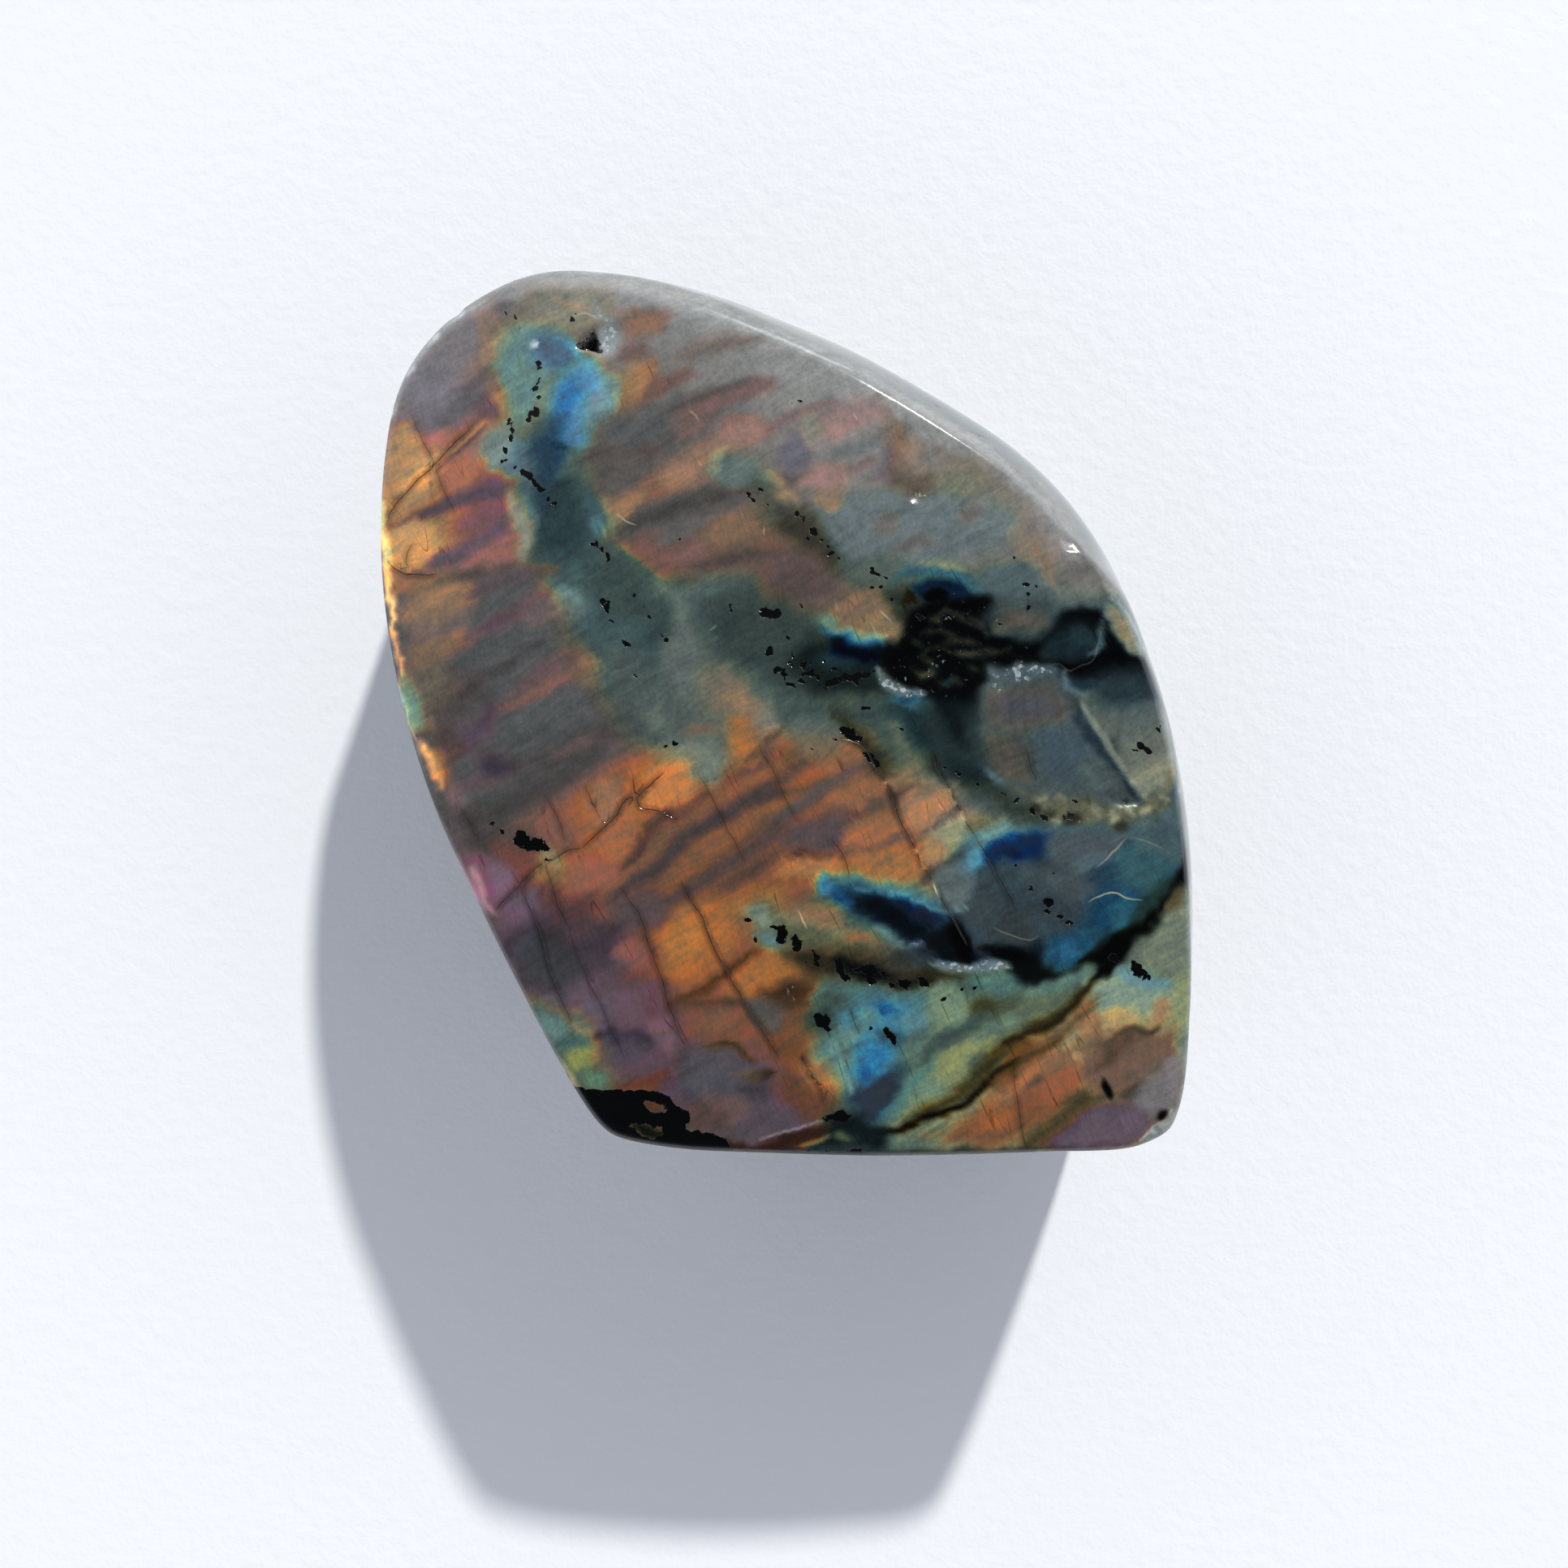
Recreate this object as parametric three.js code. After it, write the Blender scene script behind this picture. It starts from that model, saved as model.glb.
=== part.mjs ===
// Labradorite freeform: one piece of feldspar, ground and polished all over.
// It lies on its flat back, with the broad face that shows the colour flash upwards.
// Millimetres, +Z up. The origin is on the resting plane, under the middle of the stone's
// width and length. +X is the side of the broad sloping shoulder, and -Y the side of the
// nearly straight base.

import * as THREE from 'three';

// The face is a shallow crown on a plane that rises towards the base and the shoulder. The
// crown falls by its depth at its radius from the middle.
const FACE_HEIGHT = 37;
const RISE_TO_BASE = 0.083;
const RISE_TO_SHOULDER = 0.031;
const CROWN_DEPTH = 3;
const CROWN_RADIUS = 46;

// The wall bulges out from the face's rim to the girdle, the widest line, and tucks under
// below it to meet the flat back.
const GIRDLE_DROP_STEEP = 15;
const GIRDLE_DROP_SHOULDER = 18;
const SHOULDER_FULL_WIDTH = 5.8;
const BACK_EDGE_INSET = 7;
const BACK_EDGE_SQUARENESS = 2.8;

// The rim is broken by a narrow polished edge, which widens into a soft roll at the top.
const RIM_EDGE_WIDTH = 0.45;
const RIM_EDGE_FALL = 0.7;
const TOP_ROLL_WIDTH = 2.2;
const TOP_ROLL_DIRECTION = THREE.MathUtils.degToRad(112);
const TOP_ROLL_SPREAD = THREE.MathUtils.degToRad(20);
const RIM_GUARD = 0.9;
const FACE_MARGIN = 3.4;

// How finely the surface is divided.
const STEPS_PER_ANCHOR = 3;
const UNDERCUT_RINGS = 7;
const WALL_RINGS = 6;

// The girdle seen from above, anticlockwise from the base's left corner, in four sides with
// eight anchors each. The third number is the shoulder: how far in from the girdle the
// face's rim runs at that place.
const BASE_ANCHORS = [
  [-18.9, -44, 0.5],
  [-17, -44.9, 0.5],
  [-13, -45.5, 0.5],
  [-3, -46, 0.6],
  [9, -46.2, 0.6],
  [22, -45.9, 0.6],
  [31, -45.6, 0.7],
  [35.2, -45.1, 1.0],
];
const SHOULDER_ANCHORS = [
  [37.6, -44.1, 1.2],
  [38.8, -42, 1.4],
  [39.7, -38.4, 1.6],
  [41.1, -31.5, 2.4],
  [42.3, -22.5, 3.8],
  [41.8, -12.2, 4.5],
  [39.6, -1.1, 4.6],
  [36.7, 8.6, 5.0],
];
const TOP_ANCHORS = [
  [32.3, 18, 5.6],
  [25.5, 26.1, 5.8],
  [16.1, 32.7, 5.8],
  [5, 39, 5.4],
  [-7.9, 44.6, 4.2],
  [-18.5, 46.8, 3.0],
  [-26.9, 46.3, 2.0],
  [-34, 42.3, 1.2],
];
const LEFT_ANCHORS = [
  [-39.8, 36, 0.9],
  [-42.4, 28, 0.6],
  [-42.8, 18, 0.5],
  [-41.7, 6.9, 0.5],
  [-38.3, -6.2, 0.5],
  [-32.9, -19.5, 0.5],
  [-26.4, -32.2, 0.5],
  [-21.2, -41.2, 0.5],
];
const GIRDLE_ANCHORS = [BASE_ANCHORS, SHOULDER_ANCHORS, TOP_ANCHORS, LEFT_ANCHORS].flat();

const girdleCurve = new THREE.CatmullRomCurve3(
  GIRDLE_ANCHORS.map(([x, y, shoulder]) => new THREE.Vector3(x, y, shoulder)),
  true,
  'centripetal',
);

// One station for each step round the girdle. getPoints repeats the first point at the end.
const stations = girdleCurve
  .getPoints(GIRDLE_ANCHORS.length * STEPS_PER_ANCHOR)
  .slice(0, -1)
  .map(({ x, y, z }) => {
    const reach = Math.hypot(x, y);
    return { reach, ux: x / reach, uy: y / reach, shoulder: z };
  });
const AROUND = stations.length;
const SIDE = AROUND / 4;

function faceHeight(x, y) {
  const plane = FACE_HEIGHT + RISE_TO_SHOULDER * x - RISE_TO_BASE * y;
  return plane - (CROWN_DEPTH * (x * x + y * y)) / CROWN_RADIUS ** 2;
}

function backHeight() {
  return 0;
}

// The width of the rim's rounded edge at a station.
function rimEdgeWidth(station) {
  const away = Math.atan2(station.uy, station.ux) - TOP_ROLL_DIRECTION;
  return RIM_EDGE_WIDTH + TOP_ROLL_WIDTH * Math.exp(-((away / TOP_ROLL_SPREAD) ** 2));
}

// A point at a distance in from the girdle, along the line to the middle.
function inFromGirdle(station, inset, height) {
  const radius = station.reach - inset;
  return [station.ux * radius, station.uy * radius, height];
}

function onFace(station, inset) {
  const [x, y] = inFromGirdle(station, inset, 0);
  return [x, y, faceHeight(x, y)];
}

function girdleHeight(station) {
  const slope = Math.min(1, station.shoulder / SHOULDER_FULL_WIDTH);
  const drop = THREE.MathUtils.lerp(GIRDLE_DROP_STEEP, GIRDLE_DROP_SHOULDER, slope);
  return onFace(station, station.shoulder)[2] - drop;
}

// Below the girdle the wall is a squared quarter-ellipse down to the flat back.
function undercutPoint(station, turn) {
  const angle = (turn * Math.PI) / 2;
  const power = 2 / BACK_EDGE_SQUARENESS;
  const inset = BACK_EDGE_INSET * (1 - Math.sin(angle) ** power);
  const height = girdleHeight(station) * (1 - Math.cos(angle) ** power);
  return inFromGirdle(station, inset, height);
}

// The wall between the girdle (0) and the rim's outer line (1) is a parabola: upright at the
// girdle and leaning in most at the rim.
function wallPoint(station, climb) {
  const low = girdleHeight(station);
  const high = onFace(station, station.shoulder)[2] - rimEdgeWidth(station) * RIM_EDGE_FALL;
  const height = THREE.MathUtils.lerp(low, high, climb);
  return inFromGirdle(station, station.shoulder * climb ** 2, height);
}

// Closed rings of points from the back up to the face.
const points = [];

function addRing(pointAt) {
  points.push(...stations.map(pointAt));
}

addRing((s) => inFromGirdle(s, BACK_EDGE_INSET + RIM_GUARD, 0));
for (let i = 0; i < UNDERCUT_RINGS; i += 1) {
  addRing((s) => undercutPoint(s, i / UNDERCUT_RINGS));
}
for (let i = 0; i < WALL_RINGS; i += 1) {
  addRing((s) => wallPoint(s, i / WALL_RINGS));
}
addRing((s) => wallPoint(s, 1 - RIM_GUARD / GIRDLE_DROP_STEEP));
addRing((s) => wallPoint(s, 1));
addRing((s) => onFace(s, s.shoulder + rimEdgeWidth(s)));
addRing((s) => onFace(s, s.shoulder + rimEdgeWidth(s) + RIM_GUARD));
addRing((s) => onFace(s, s.shoulder + rimEdgeWidth(s) + FACE_MARGIN));
const LAST_RING = points.length / AROUND - 1;

const triangles = [];

function addQuad(a, b, c, d) {
  triangles.push(a, b, c, a, c, d);
}

function onRing(ring, step) {
  return ring * AROUND + ((step + AROUND) % AROUND);
}

for (let ring = 0; ring < LAST_RING; ring += 1) {
  for (let step = 0; step < AROUND; step += 1) {
    addQuad(
      onRing(ring, step),
      onRing(ring, step + 1),
      onRing(ring + 1, step + 1),
      onRing(ring + 1, step),
    );
  }
}

// Fills a ring with a square net whose four sides are the ring's four quarters, each inner
// point blended from the four sides (a Coons patch) and set at the surface's own height.
function addNet(ring, heightAt, facesUp) {
  const side = (step) => points[onRing(ring, step)];
  const net = [];
  for (let row = 0; row <= SIDE; row += 1) {
    net.push([]);
    for (let column = 0; column <= SIDE; column += 1) {
      const u = column / SIDE;
      const v = row / SIDE;
      const edgeStep = [
        [row === 0, column],
        [column === SIDE, SIDE + row],
        [row === SIDE, 3 * SIDE - column],
        [column === 0, -row],
      ].find(([onEdge]) => onEdge);
      if (edgeStep) {
        net[row].push(onRing(ring, edgeStep[1]));
      } else {
        const [x, y] = [0, 1].map((axis) => {
          const across = THREE.MathUtils.lerp(side(-row)[axis], side(SIDE + row)[axis], u);
          const along = THREE.MathUtils.lerp(side(column)[axis], side(3 * SIDE - column)[axis], v);
          const low = THREE.MathUtils.lerp(side(0)[axis], side(SIDE)[axis], u);
          const high = THREE.MathUtils.lerp(side(3 * SIDE)[axis], side(2 * SIDE)[axis], u);
          return across + along - THREE.MathUtils.lerp(low, high, v);
        });
        net[row].push(points.push([x, y, heightAt(x, y)]) - 1);
      }
    }
  }
  for (let row = 0; row < SIDE; row += 1) {
    for (let column = 0; column < SIDE; column += 1) {
      const corners = [
        net[row][column],
        net[row][column + 1],
        net[row + 1][column + 1],
        net[row + 1][column],
      ];
      addQuad(...(facesUp ? corners : corners.reverse()));
    }
  }
}

addNet(0, backHeight, false);
addNet(LAST_RING, faceHeight, true);

const stoneGeometry = new THREE.BufferGeometry();
stoneGeometry.setAttribute('position', new THREE.Float32BufferAttribute(points.flat(), 3));
stoneGeometry.setIndex(triangles);
stoneGeometry.computeBoundingBox();
const middle = stoneGeometry.boundingBox.getCenter(new THREE.Vector3());
stoneGeometry.translate(-middle.x, -middle.y, 0);
stoneGeometry.computeVertexNormals();

const polishedLabradorite = new THREE.MeshStandardMaterial({
  color: 0x6f6a64,
  roughness: 0.22,
  metalness: 0,
});

const stone = new THREE.Mesh(stoneGeometry, polishedLabradorite);
stone.name = 'stone';

const labradoriteFreeform = new THREE.Group();
labradoriteFreeform.add(stone);

export default labradoriteFreeform;
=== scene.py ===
import functools
import math

import bpy
import mathutils
import numpy as np
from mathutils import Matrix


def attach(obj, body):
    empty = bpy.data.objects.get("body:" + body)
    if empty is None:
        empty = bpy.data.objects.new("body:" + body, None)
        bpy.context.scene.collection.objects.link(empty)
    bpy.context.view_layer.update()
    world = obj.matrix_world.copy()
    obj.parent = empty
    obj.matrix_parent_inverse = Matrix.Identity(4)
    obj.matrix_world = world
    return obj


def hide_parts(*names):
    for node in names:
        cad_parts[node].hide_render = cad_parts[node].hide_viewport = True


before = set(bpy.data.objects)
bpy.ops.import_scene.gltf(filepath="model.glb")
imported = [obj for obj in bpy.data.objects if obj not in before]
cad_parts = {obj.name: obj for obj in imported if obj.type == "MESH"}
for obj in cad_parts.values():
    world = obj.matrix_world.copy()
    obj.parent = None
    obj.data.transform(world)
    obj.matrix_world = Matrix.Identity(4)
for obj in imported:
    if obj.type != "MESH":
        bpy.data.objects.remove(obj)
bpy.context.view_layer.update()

# The stone's form. The real piece is one lump of labradorite, sawn flat across the back, ground to a
# leaning shape with a faintly domed face, and polished all round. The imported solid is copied, its
# loose triangles are merged, and the copy is smoothed and given finer faces where the detail is.
MM = 0.001
FACE_UP = 0.97
FACE_LOWEST = 0.026

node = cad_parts["stone"]
bpy.ops.object.select_all(action="DESELECT")
stone = node.copy()
stone.data = node.data.copy()
stone.name = "polished_stone"
stone.data.name = "polished_stone"
bpy.context.collection.objects.link(stone)
stone.parent = None
stone.matrix_world = node.matrix_world.copy()
stone.select_set(True)
bpy.context.view_layer.objects.active = stone
bpy.ops.object.transform_apply(location=True, rotation=True, scale=True)
bpy.ops.object.mode_set(mode="EDIT")
bpy.ops.mesh.select_all(action="SELECT")
bpy.ops.mesh.remove_doubles(threshold=0.00001)
bpy.ops.mesh.tris_convert_to_quads(face_threshold=math.radians(60), shape_threshold=math.radians(80))
bpy.ops.object.mode_set(mode="OBJECT")
smoothing = stone.modifiers.new("smoothing", "SUBSURF")
smoothing.levels = 2
smoothing.render_levels = 2
bpy.ops.object.modifier_apply(modifier=smoothing.name)


def select_faces(wanted):
    """Selects the stone's faces that a yes-or-no list names, and no others."""
    mesh = stone.data
    mesh.vertices.foreach_set("select", np.zeros(len(mesh.vertices), bool))
    mesh.edges.foreach_set("select", np.zeros(len(mesh.edges), bool))
    mesh.polygons.foreach_set("select", wanted)
    mesh.update()


def face_values():
    """Each face's centre in millimetres and its outward direction."""
    mesh = stone.data
    centres = np.empty(len(mesh.polygons) * 3)
    outward = np.empty(len(mesh.polygons) * 3)
    mesh.polygons.foreach_get("center", centres)
    mesh.polygons.foreach_get("normal", outward)
    return centres.reshape(-1, 3) / MM, outward.reshape(-1, 3)


centres, outward = face_values()
select_faces((outward[:, 2] > FACE_UP) & (centres[:, 2] > FACE_LOWEST / MM))
bpy.ops.object.mode_set(mode="EDIT")
bpy.ops.mesh.select_mode(type="FACE")
bpy.ops.mesh.subdivide(number_cuts=1)
bpy.ops.object.mode_set(mode="OBJECT")


def point_places():
    """Each point's place in millimetres."""
    flat = np.empty(len(stone.data.vertices) * 3)
    stone.data.vertices.foreach_get("co", flat)
    return flat.reshape(-1, 3) / MM


def eased(low, high, v):
    """Rises smoothly from 0 at low to 1 at high."""
    t = np.clip((v - low) / (high - low), 0, 1)
    return t * t * (3 - 2 * t)


# The maker ground the rim full at the left, the right, along the base, over the shoulder and at two
# corners. Each place is drawn out sideways by up to 1.2 millimetres, most at the rim and not at all near
# the back. Directions round the stone are in degrees, and the rim is found in steps of RIM_STEP.
RIM_STEP = 4
RIM_HEIGHT = 34
RIGHT_EDGE = 33.9
RIGHT_WAY = (0.943, 0.335)

places = point_places()
x, y, z = places.T.copy()
turned = np.degrees(np.arctan2(y, x)) % 360
reach = np.hypot(x, y)
rim_reach = np.zeros(360 // RIM_STEP)
on_rim = z > RIM_HEIGHT
np.maximum.at(rim_reach, (turned[on_rim] / RIM_STEP).astype(int), reach[on_rim])
middles = np.arange(len(rim_reach)) * RIM_STEP + RIM_STEP / 2
near_rim = eased(6, 0.5, np.interp(turned, middles, rim_reach, period=360) - reach)
right = eased(-7, -0.5, (x - RIGHT_EDGE) * RIGHT_WAY[0] + y * RIGHT_WAY[1]) * eased(25.5, 35.5, z)
right *= eased(16, 8, y) * eased(-28, 2, y)
left = near_rim * eased(28, 35, z) * eased(132, 146, turned) * eased(214, 198, turned)
base = eased(-40, -45, y) * eased(-16, -9, x) * eased(37, 33, x) * eased(22, 34, z)
shoulder = eased(18, 30, reach) * eased(8, 20, z) * eased(-3, 8, x) * eased(2, 12, y)
low_corner = eased(50, 55, 0.7 * (x - y)) * eased(22, 34, z)
high_corner = eased(46, 51, 0.7 * (y - x)) * eased(20, 32, z)
for amount, way, weight in [(1.2, (0.94, 0.34), right), (0.4, (-1, 0), left), (0.2, (0, -1), base),
                            (0.4, (0.7, 0.7), shoulder), (0.35, (0.7, -0.7), low_corner),
                            (0.45, (-0.7, 0.7), high_corner)]:
    places[:, :2] += amount * np.outer(weight, way)
stone.data.vertices.foreach_set("co", (places * MM).ravel())
stone.data.update()

# The stone's pattern. Thin layers in the feldspar flash blue, green, gold, copper or purple where they lie
# flat to the polish, and the rest stays grey. Each zone is laid over the last as a soft ragged mark, in
# millimetres from the middle of the stone. What the marks say is kept at every point of the mesh.
BAND_DEGREES = 30
BAND_TURN = math.radians(BAND_DEGREES)
LINE_SOFTENED = {"feather": 1.3, "ragged": 1.3, "crazed": 1}
AREA_SOFTENED = {"feather": 1.6, "ragged": 1.6, "crazed": 1}
FAR = 9.0


def lattice(i, j, k, seed):
    """A fixed value from -1 to 1 for each whole-number place."""
    n = (i * 374761393 + j * 668265263 + k * 2147483647 + seed * 1274126177) & 0xFFFFFFFF
    n = ((n ^ (n >> 13)) * 1274126177) & 0xFFFFFFFF
    return ((n ^ (n >> 16)) & 0xFFFF) / 32767.5 - 1


def grain(x, y, z=0.0, seed=0):
    """Smooth noise from -1 to 1, one wave to a unit."""
    x, y, z = np.broadcast_arrays(x, y, z)
    cells = [np.floor(v).astype(np.int64) for v in (x, y, z)]
    slopes = [(v - c) ** 2 * (3 - 2 * (v - c)) for v, c in zip((x, y, z), cells)]
    total = 0
    for corner in range(8):
        step = [(corner >> axis) & 1 for axis in range(3)]
        weight = 1
        for slope, side in zip(slopes, step):
            weight = weight * (slope if side else 1 - slope)
        total = total + weight * lattice(cells[0] + step[0], cells[1] + step[1], cells[2] + step[2], seed)
    return total


def rounded(points, closed):
    """Draws a smooth line through a few points."""
    p = np.array(points, float)
    n = len(p)
    line = []
    for i in range(n if closed else n - 1):
        if closed:
            a, b, c, d = p[i - 1], p[i], p[(i + 1) % n], p[(i + 2) % n]
        else:
            a, b, c, d = p[max(i - 1, 0)], p[i], p[i + 1], p[min(i + 2, n - 1)]
        for t in (0, 0.25, 0.5, 0.75):
            bend = (2 * a - 5 * b + 4 * c - d) * t * t + (3 * b - 3 * c + d - a) * t ** 3
            line.append(0.5 * (2 * b + (c - a) * t + bend))
    if not closed:
        line.append(p[-1])
    return np.array(line)


class Pattern:
    """The fields over the face, and the marks that change them.

    A mark's edge wanders in one of three ways: a feather is drawn out along the bands, ragged is torn on
    all sides, and crazed hardly wanders.
    """

    def __init__(self, x, y):
        n = x.shape
        self.hue = np.full(n, 0.75)
        self.flash = np.full(n, 0.12)
        self.light = np.full(n, 0.36)
        self.ink = np.zeros(n)
        self.specks = np.full(n, 0.12)
        self.glitter = np.zeros(n)
        self.rough = np.zeros(n)
        self.depth = np.zeros(n)
        self.glow = np.zeros(n)
        self.side = np.full(n, FAR)
        self.gap = np.full(n, FAR)
        self.dark = np.zeros(n)
        c, s = math.cos(BAND_TURN), math.sin(BAND_TURN)
        along, across = x * c + y * s, y * c - x * s
        push = 1.3 * grain(along / 9, across / 1.7, seed=3) + 0.6 * grain(along / 4, across / 0.6, seed=4)
        sway = [0.2 * grain(x / 5, y / 5, seed=k) + 0.35 * grain(x / 2.1, y / 2.1, seed=k + 4)
                + 0.25 * grain(x / 0.8, y / 0.8, seed=k + 8) for k in (1, 2)]
        self.feather = (x + push * c + 0.4 * sway[0], y + push * s + 0.4 * sway[1])
        self.ragged = (x + sway[0] + 0.25 * push * c, y + sway[1] + 0.25 * push * s)
        self.crazed = (x + 0.3 * sway[0], y + 0.3 * sway[1])

    def lay(self, near, amount, tone, marks):
        """Moves the fields toward the tone (light, flash and hue) and any other values named."""
        for name, value in [*zip(("light", "flash", "hue"), tone), *marks.items()]:
            layer = getattr(self, name)
            layer[near] += (value - layer[near]) * amount

    def places(self, how, line, reach):
        """Which points lie near a line, and their places after the warp."""
        px, py = getattr(self, how)
        low, high = line.min(0) - reach, line.max(0) + reach
        near = (px > low[0]) & (px < high[0]) & (py > low[1]) & (py < high[1])
        return near, px[near], py[near]

    def spot(self, x, y, long, wide=None, turn=0, tone=(), edge=0.6, how="ragged", amount=1, **marks):
        """An oval."""
        wide = wide or long
        near, px, py = self.places(how, np.array([[x, y]]), max(long, wide) * (1 + edge))
        c, s = math.cos(math.radians(turn)), math.sin(math.radians(turn))
        u, v = (px - x) * c + (py - y) * s, (py - y) * c - (px - x) * s
        self.lay(near, amount * (1 - eased(1 - edge, 1 + edge, np.hypot(u / long, v / wide))), tone, marks)

    def away(self, px, py, line, closed):
        """Distance to a line, its side, how far along it (0 to 1), and whether it rings the place."""
        ends = np.roll(line, -1, axis=0) if closed else line[1:]
        starts = line if closed else line[:-1]
        whole = np.hypot(*(ends - starts).T).sum()
        gap = np.full(px.shape, 1e9)
        side = np.ones(px.shape)
        at = np.zeros(px.shape)
        inside = np.zeros(px.shape, bool)
        run = 0
        for a, b in zip(starts, ends):
            length = math.hypot(*(b - a))
            if length < 1e-9:
                continue
            d = (b - a) / length
            t = np.clip((px - a[0]) * d[0] + (py - a[1]) * d[1], 0, length)
            here = np.hypot(px - a[0] - t * d[0], py - a[1] - t * d[1])
            closer = here < gap
            gap = np.where(closer, here, gap)
            side = np.where(closer, np.sign((py - a[1]) * d[0] - (px - a[0]) * d[1]), side)
            at = np.where(closer, (run + t) / whole, at)
            run += length
            if closed and a[1] != b[1]:
                crosses = (a[1] > py) != (b[1] > py)
                inside ^= crosses & (px < (b[0] - a[0]) * (py - a[1]) / (b[1] - a[1]) + a[0])
        return gap, side, at, inside

    def stroke(self, points, width, tone=(), edge=0.5, how="ragged", taper=0.7, amount=1, **marks):
        """A line that thins toward its ends."""
        edge *= LINE_SOFTENED[how]
        line = rounded(points, False)
        near, px, py = self.places(how, line, width / 2 + edge + 0.2)
        gap, _, at, _ = self.away(px, py, line, False)
        half = width / 2 * (1 - taper * (1 - np.sqrt(np.clip(4 * at * (1 - at), 0, 1))))
        self.lay(near, amount * (1 - eased(-edge / 2, edge / 2, gap - half)), tone, marks)

    def area(self, points, tone=(), edge=1.0, how="ragged", amount=1, smooth=True, **marks):
        """A closed patch."""
        edge *= AREA_SOFTENED[how]
        line = rounded(points, True) if smooth else np.array(points, float)
        near, px, py = self.places(how, line, edge)
        gap, _, _, inside = self.away(px, py, line, True)
        self.lay(near, amount * (1 - eased(-edge / 2, edge / 2, np.where(inside, -gap, gap))), tone, marks)

    def crack(self, points, dark=0.6, how="crazed"):
        """A hairline, kept as the distance to it and the side."""
        line = rounded(points, False)
        near, px, py = self.places(how, line, 2.0)
        gap, side, at, _ = self.away(px, py, line, False)
        nearer = gap < self.gap[near]
        fade = np.clip(4 * at * (1 - at), 0, 1) ** 0.35
        self.gap[near] = np.where(nearer, gap, self.gap[near])
        self.side[near] = np.where(nearer, gap * side, self.side[near])
        self.dark[near] = np.where(nearer, dark * fade, self.dark[near])


FACE_HEIGHT = 37
RISE_TO_SHOULDER = 0.031
RISE_TO_BASE = 0.083
CROWN_DEPTH = 3
CROWN_RADIUS = 46


def face_level(x, y):
    """How high the domed, leaning face stands above the back."""
    plane = FACE_HEIGHT + RISE_TO_SHOULDER * x - RISE_TO_BASE * y
    return plane - CROWN_DEPTH * (x * x + y * y) / CROWN_RADIUS ** 2


pattern = Pattern(places[:, 0], places[:, 1])
spot, stroke, area, crack = pattern.spot, pattern.stroke, pattern.area, pattern.crack
bloom, streak, haze = [functools.partial(mark, how="feather") for mark in (spot, stroke, area)]
fleck, scratch, flake = [functools.partial(mark, how="crazed") for mark in (spot, stroke, area)]

# Broad fields: grey haze, the copper and mauve ground, and the teal column between them.
# hazy grey over the upper right: grey feldspar, lightened by a painted sheen of reflected light
area([(-31,44), (-5,42), (18,28), (30,15), (35,8), (24,7), (8,11), (0,17), (-4,22), (-12,28), (-20,34)],
    (.47,.1), 7)
area([(-26,44), (-8,43), (16,29), (28,17), (25,14), (12,22), (-2,31), (-14,38), (-24,40)], (.53,.08), 4)
# left field: rose to gold
haze([(-41,27), (-37,29), (-31,27), (-27,24), (-25.5,18), (-26,13), (-33,11), (-41,11), (-43,16)],
    (.48,.72,.78), 4)
area([(-43,26), (-38,26), (-36,19), (-34,14), (-40,11), (-44,14)], (.55,.78,.63), 5)
# upper-left corner: dusky rose haze
area([(-40,33), (-36,38), (-31.5,40), (-31,34), (-33,29), (-38,26), (-42,28)], (.46,.42,.87), 3)
# grey bands of the left middle
haze([(-41,9), (-26,12), (-19,4), (-13,-5), (-22,-12), (-32,-15), (-38,-5)], (.345,.06,.8), 5)
# great copper field, lower middle
haze([(-29,-17), (-23,-12), (-15,-7), (-9,-4), (-3,-2), (4,-3.6), (11,-6), (16,-10), (14,-18), (5,-18.6),
    (3,-26), (4,-33), (0,-38), (-9,-34), (-17,-28), (-25,-22)], (.375,.68,.73), 4)
# mauve lower left
haze([(-34,-15), (-29,-18), (-24,-22), (-17,-26), (-13,-31), (-8,-35), (-2,-37), (3,-41), (2,-46),
    (-10,-44), (-20,-38), (-28,-28)], (.38,.5,.94), 5)
# teal-grey column from the top down the middle
area([(-30,37), (-26,38.5), (-23,36), (-25,31), (-27,27), (-29.5,27), (-30.5,32)], (.48,.55,.37), 2.5)
area([(-28,26), (-22,26), (-20,20), (-18,15.5), (-14,11), (-10,6), (-5,2), (-8,-5), (-13,-6.5), (-16,-4),
    (-21,2), (-24,9), (-27.5,16)], (.31,.36,.33), 3)
# middle greys
area([(-14,11), (-6,9), (2,4), (4,0), (-1,-4), (-8,0), (-12,5)], (.36,.32,.35), 4)
# right half: grey-blue depth
area([(12,8), (22,8), (34,9), (38,-4), (40,-16), (39,-26), (28,-27), (18,-27), (13,-22), (17,-14), (13,-7),
    (9,0)], (.28,.24,.2), 3)
# bottom right: green, yellow and orange ground
area([(3,-28), (14,-27), (24,-28), (32,-26), (40,-20), (41,-34), (39,-46), (10,-47), (3,-41)],
    (.46,.55,.48), 2)

# Upper left: the blue flash, and the rose and gold field beside it.
# pale rolled edge along the top: a painted sheen where the roll faces the light
stroke([(-34,41.5), (-29,44), (-24,44.6), (-16,43.6), (-8,41.6), (0,37.6), (8,33)], 3, (.5,.06), 2.4)
stroke([(-26,42.4), (-20,42.2), (-14,41), (-6,39)], 1.6, (.53,.08), 1.6)
spot(-23.6, 41.4, 4, .9, -4, (.48,.3,.55), amount=.6)
# brown and buff ground about the pit
area([(-28,40.6), (-24,41), (-19.6,40.2), (-18.6,37.4), (-21,36), (-25,37.6)], (.45,.3,.6), 2)
spot(-15.2, 37.8, 2.4, 1.1, 15, (.42,.42,.76), amount=.9)
spot(-16.2, 34.6, 1.6, 1, 10, (.38,.4,.8), amount=.8)
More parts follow.
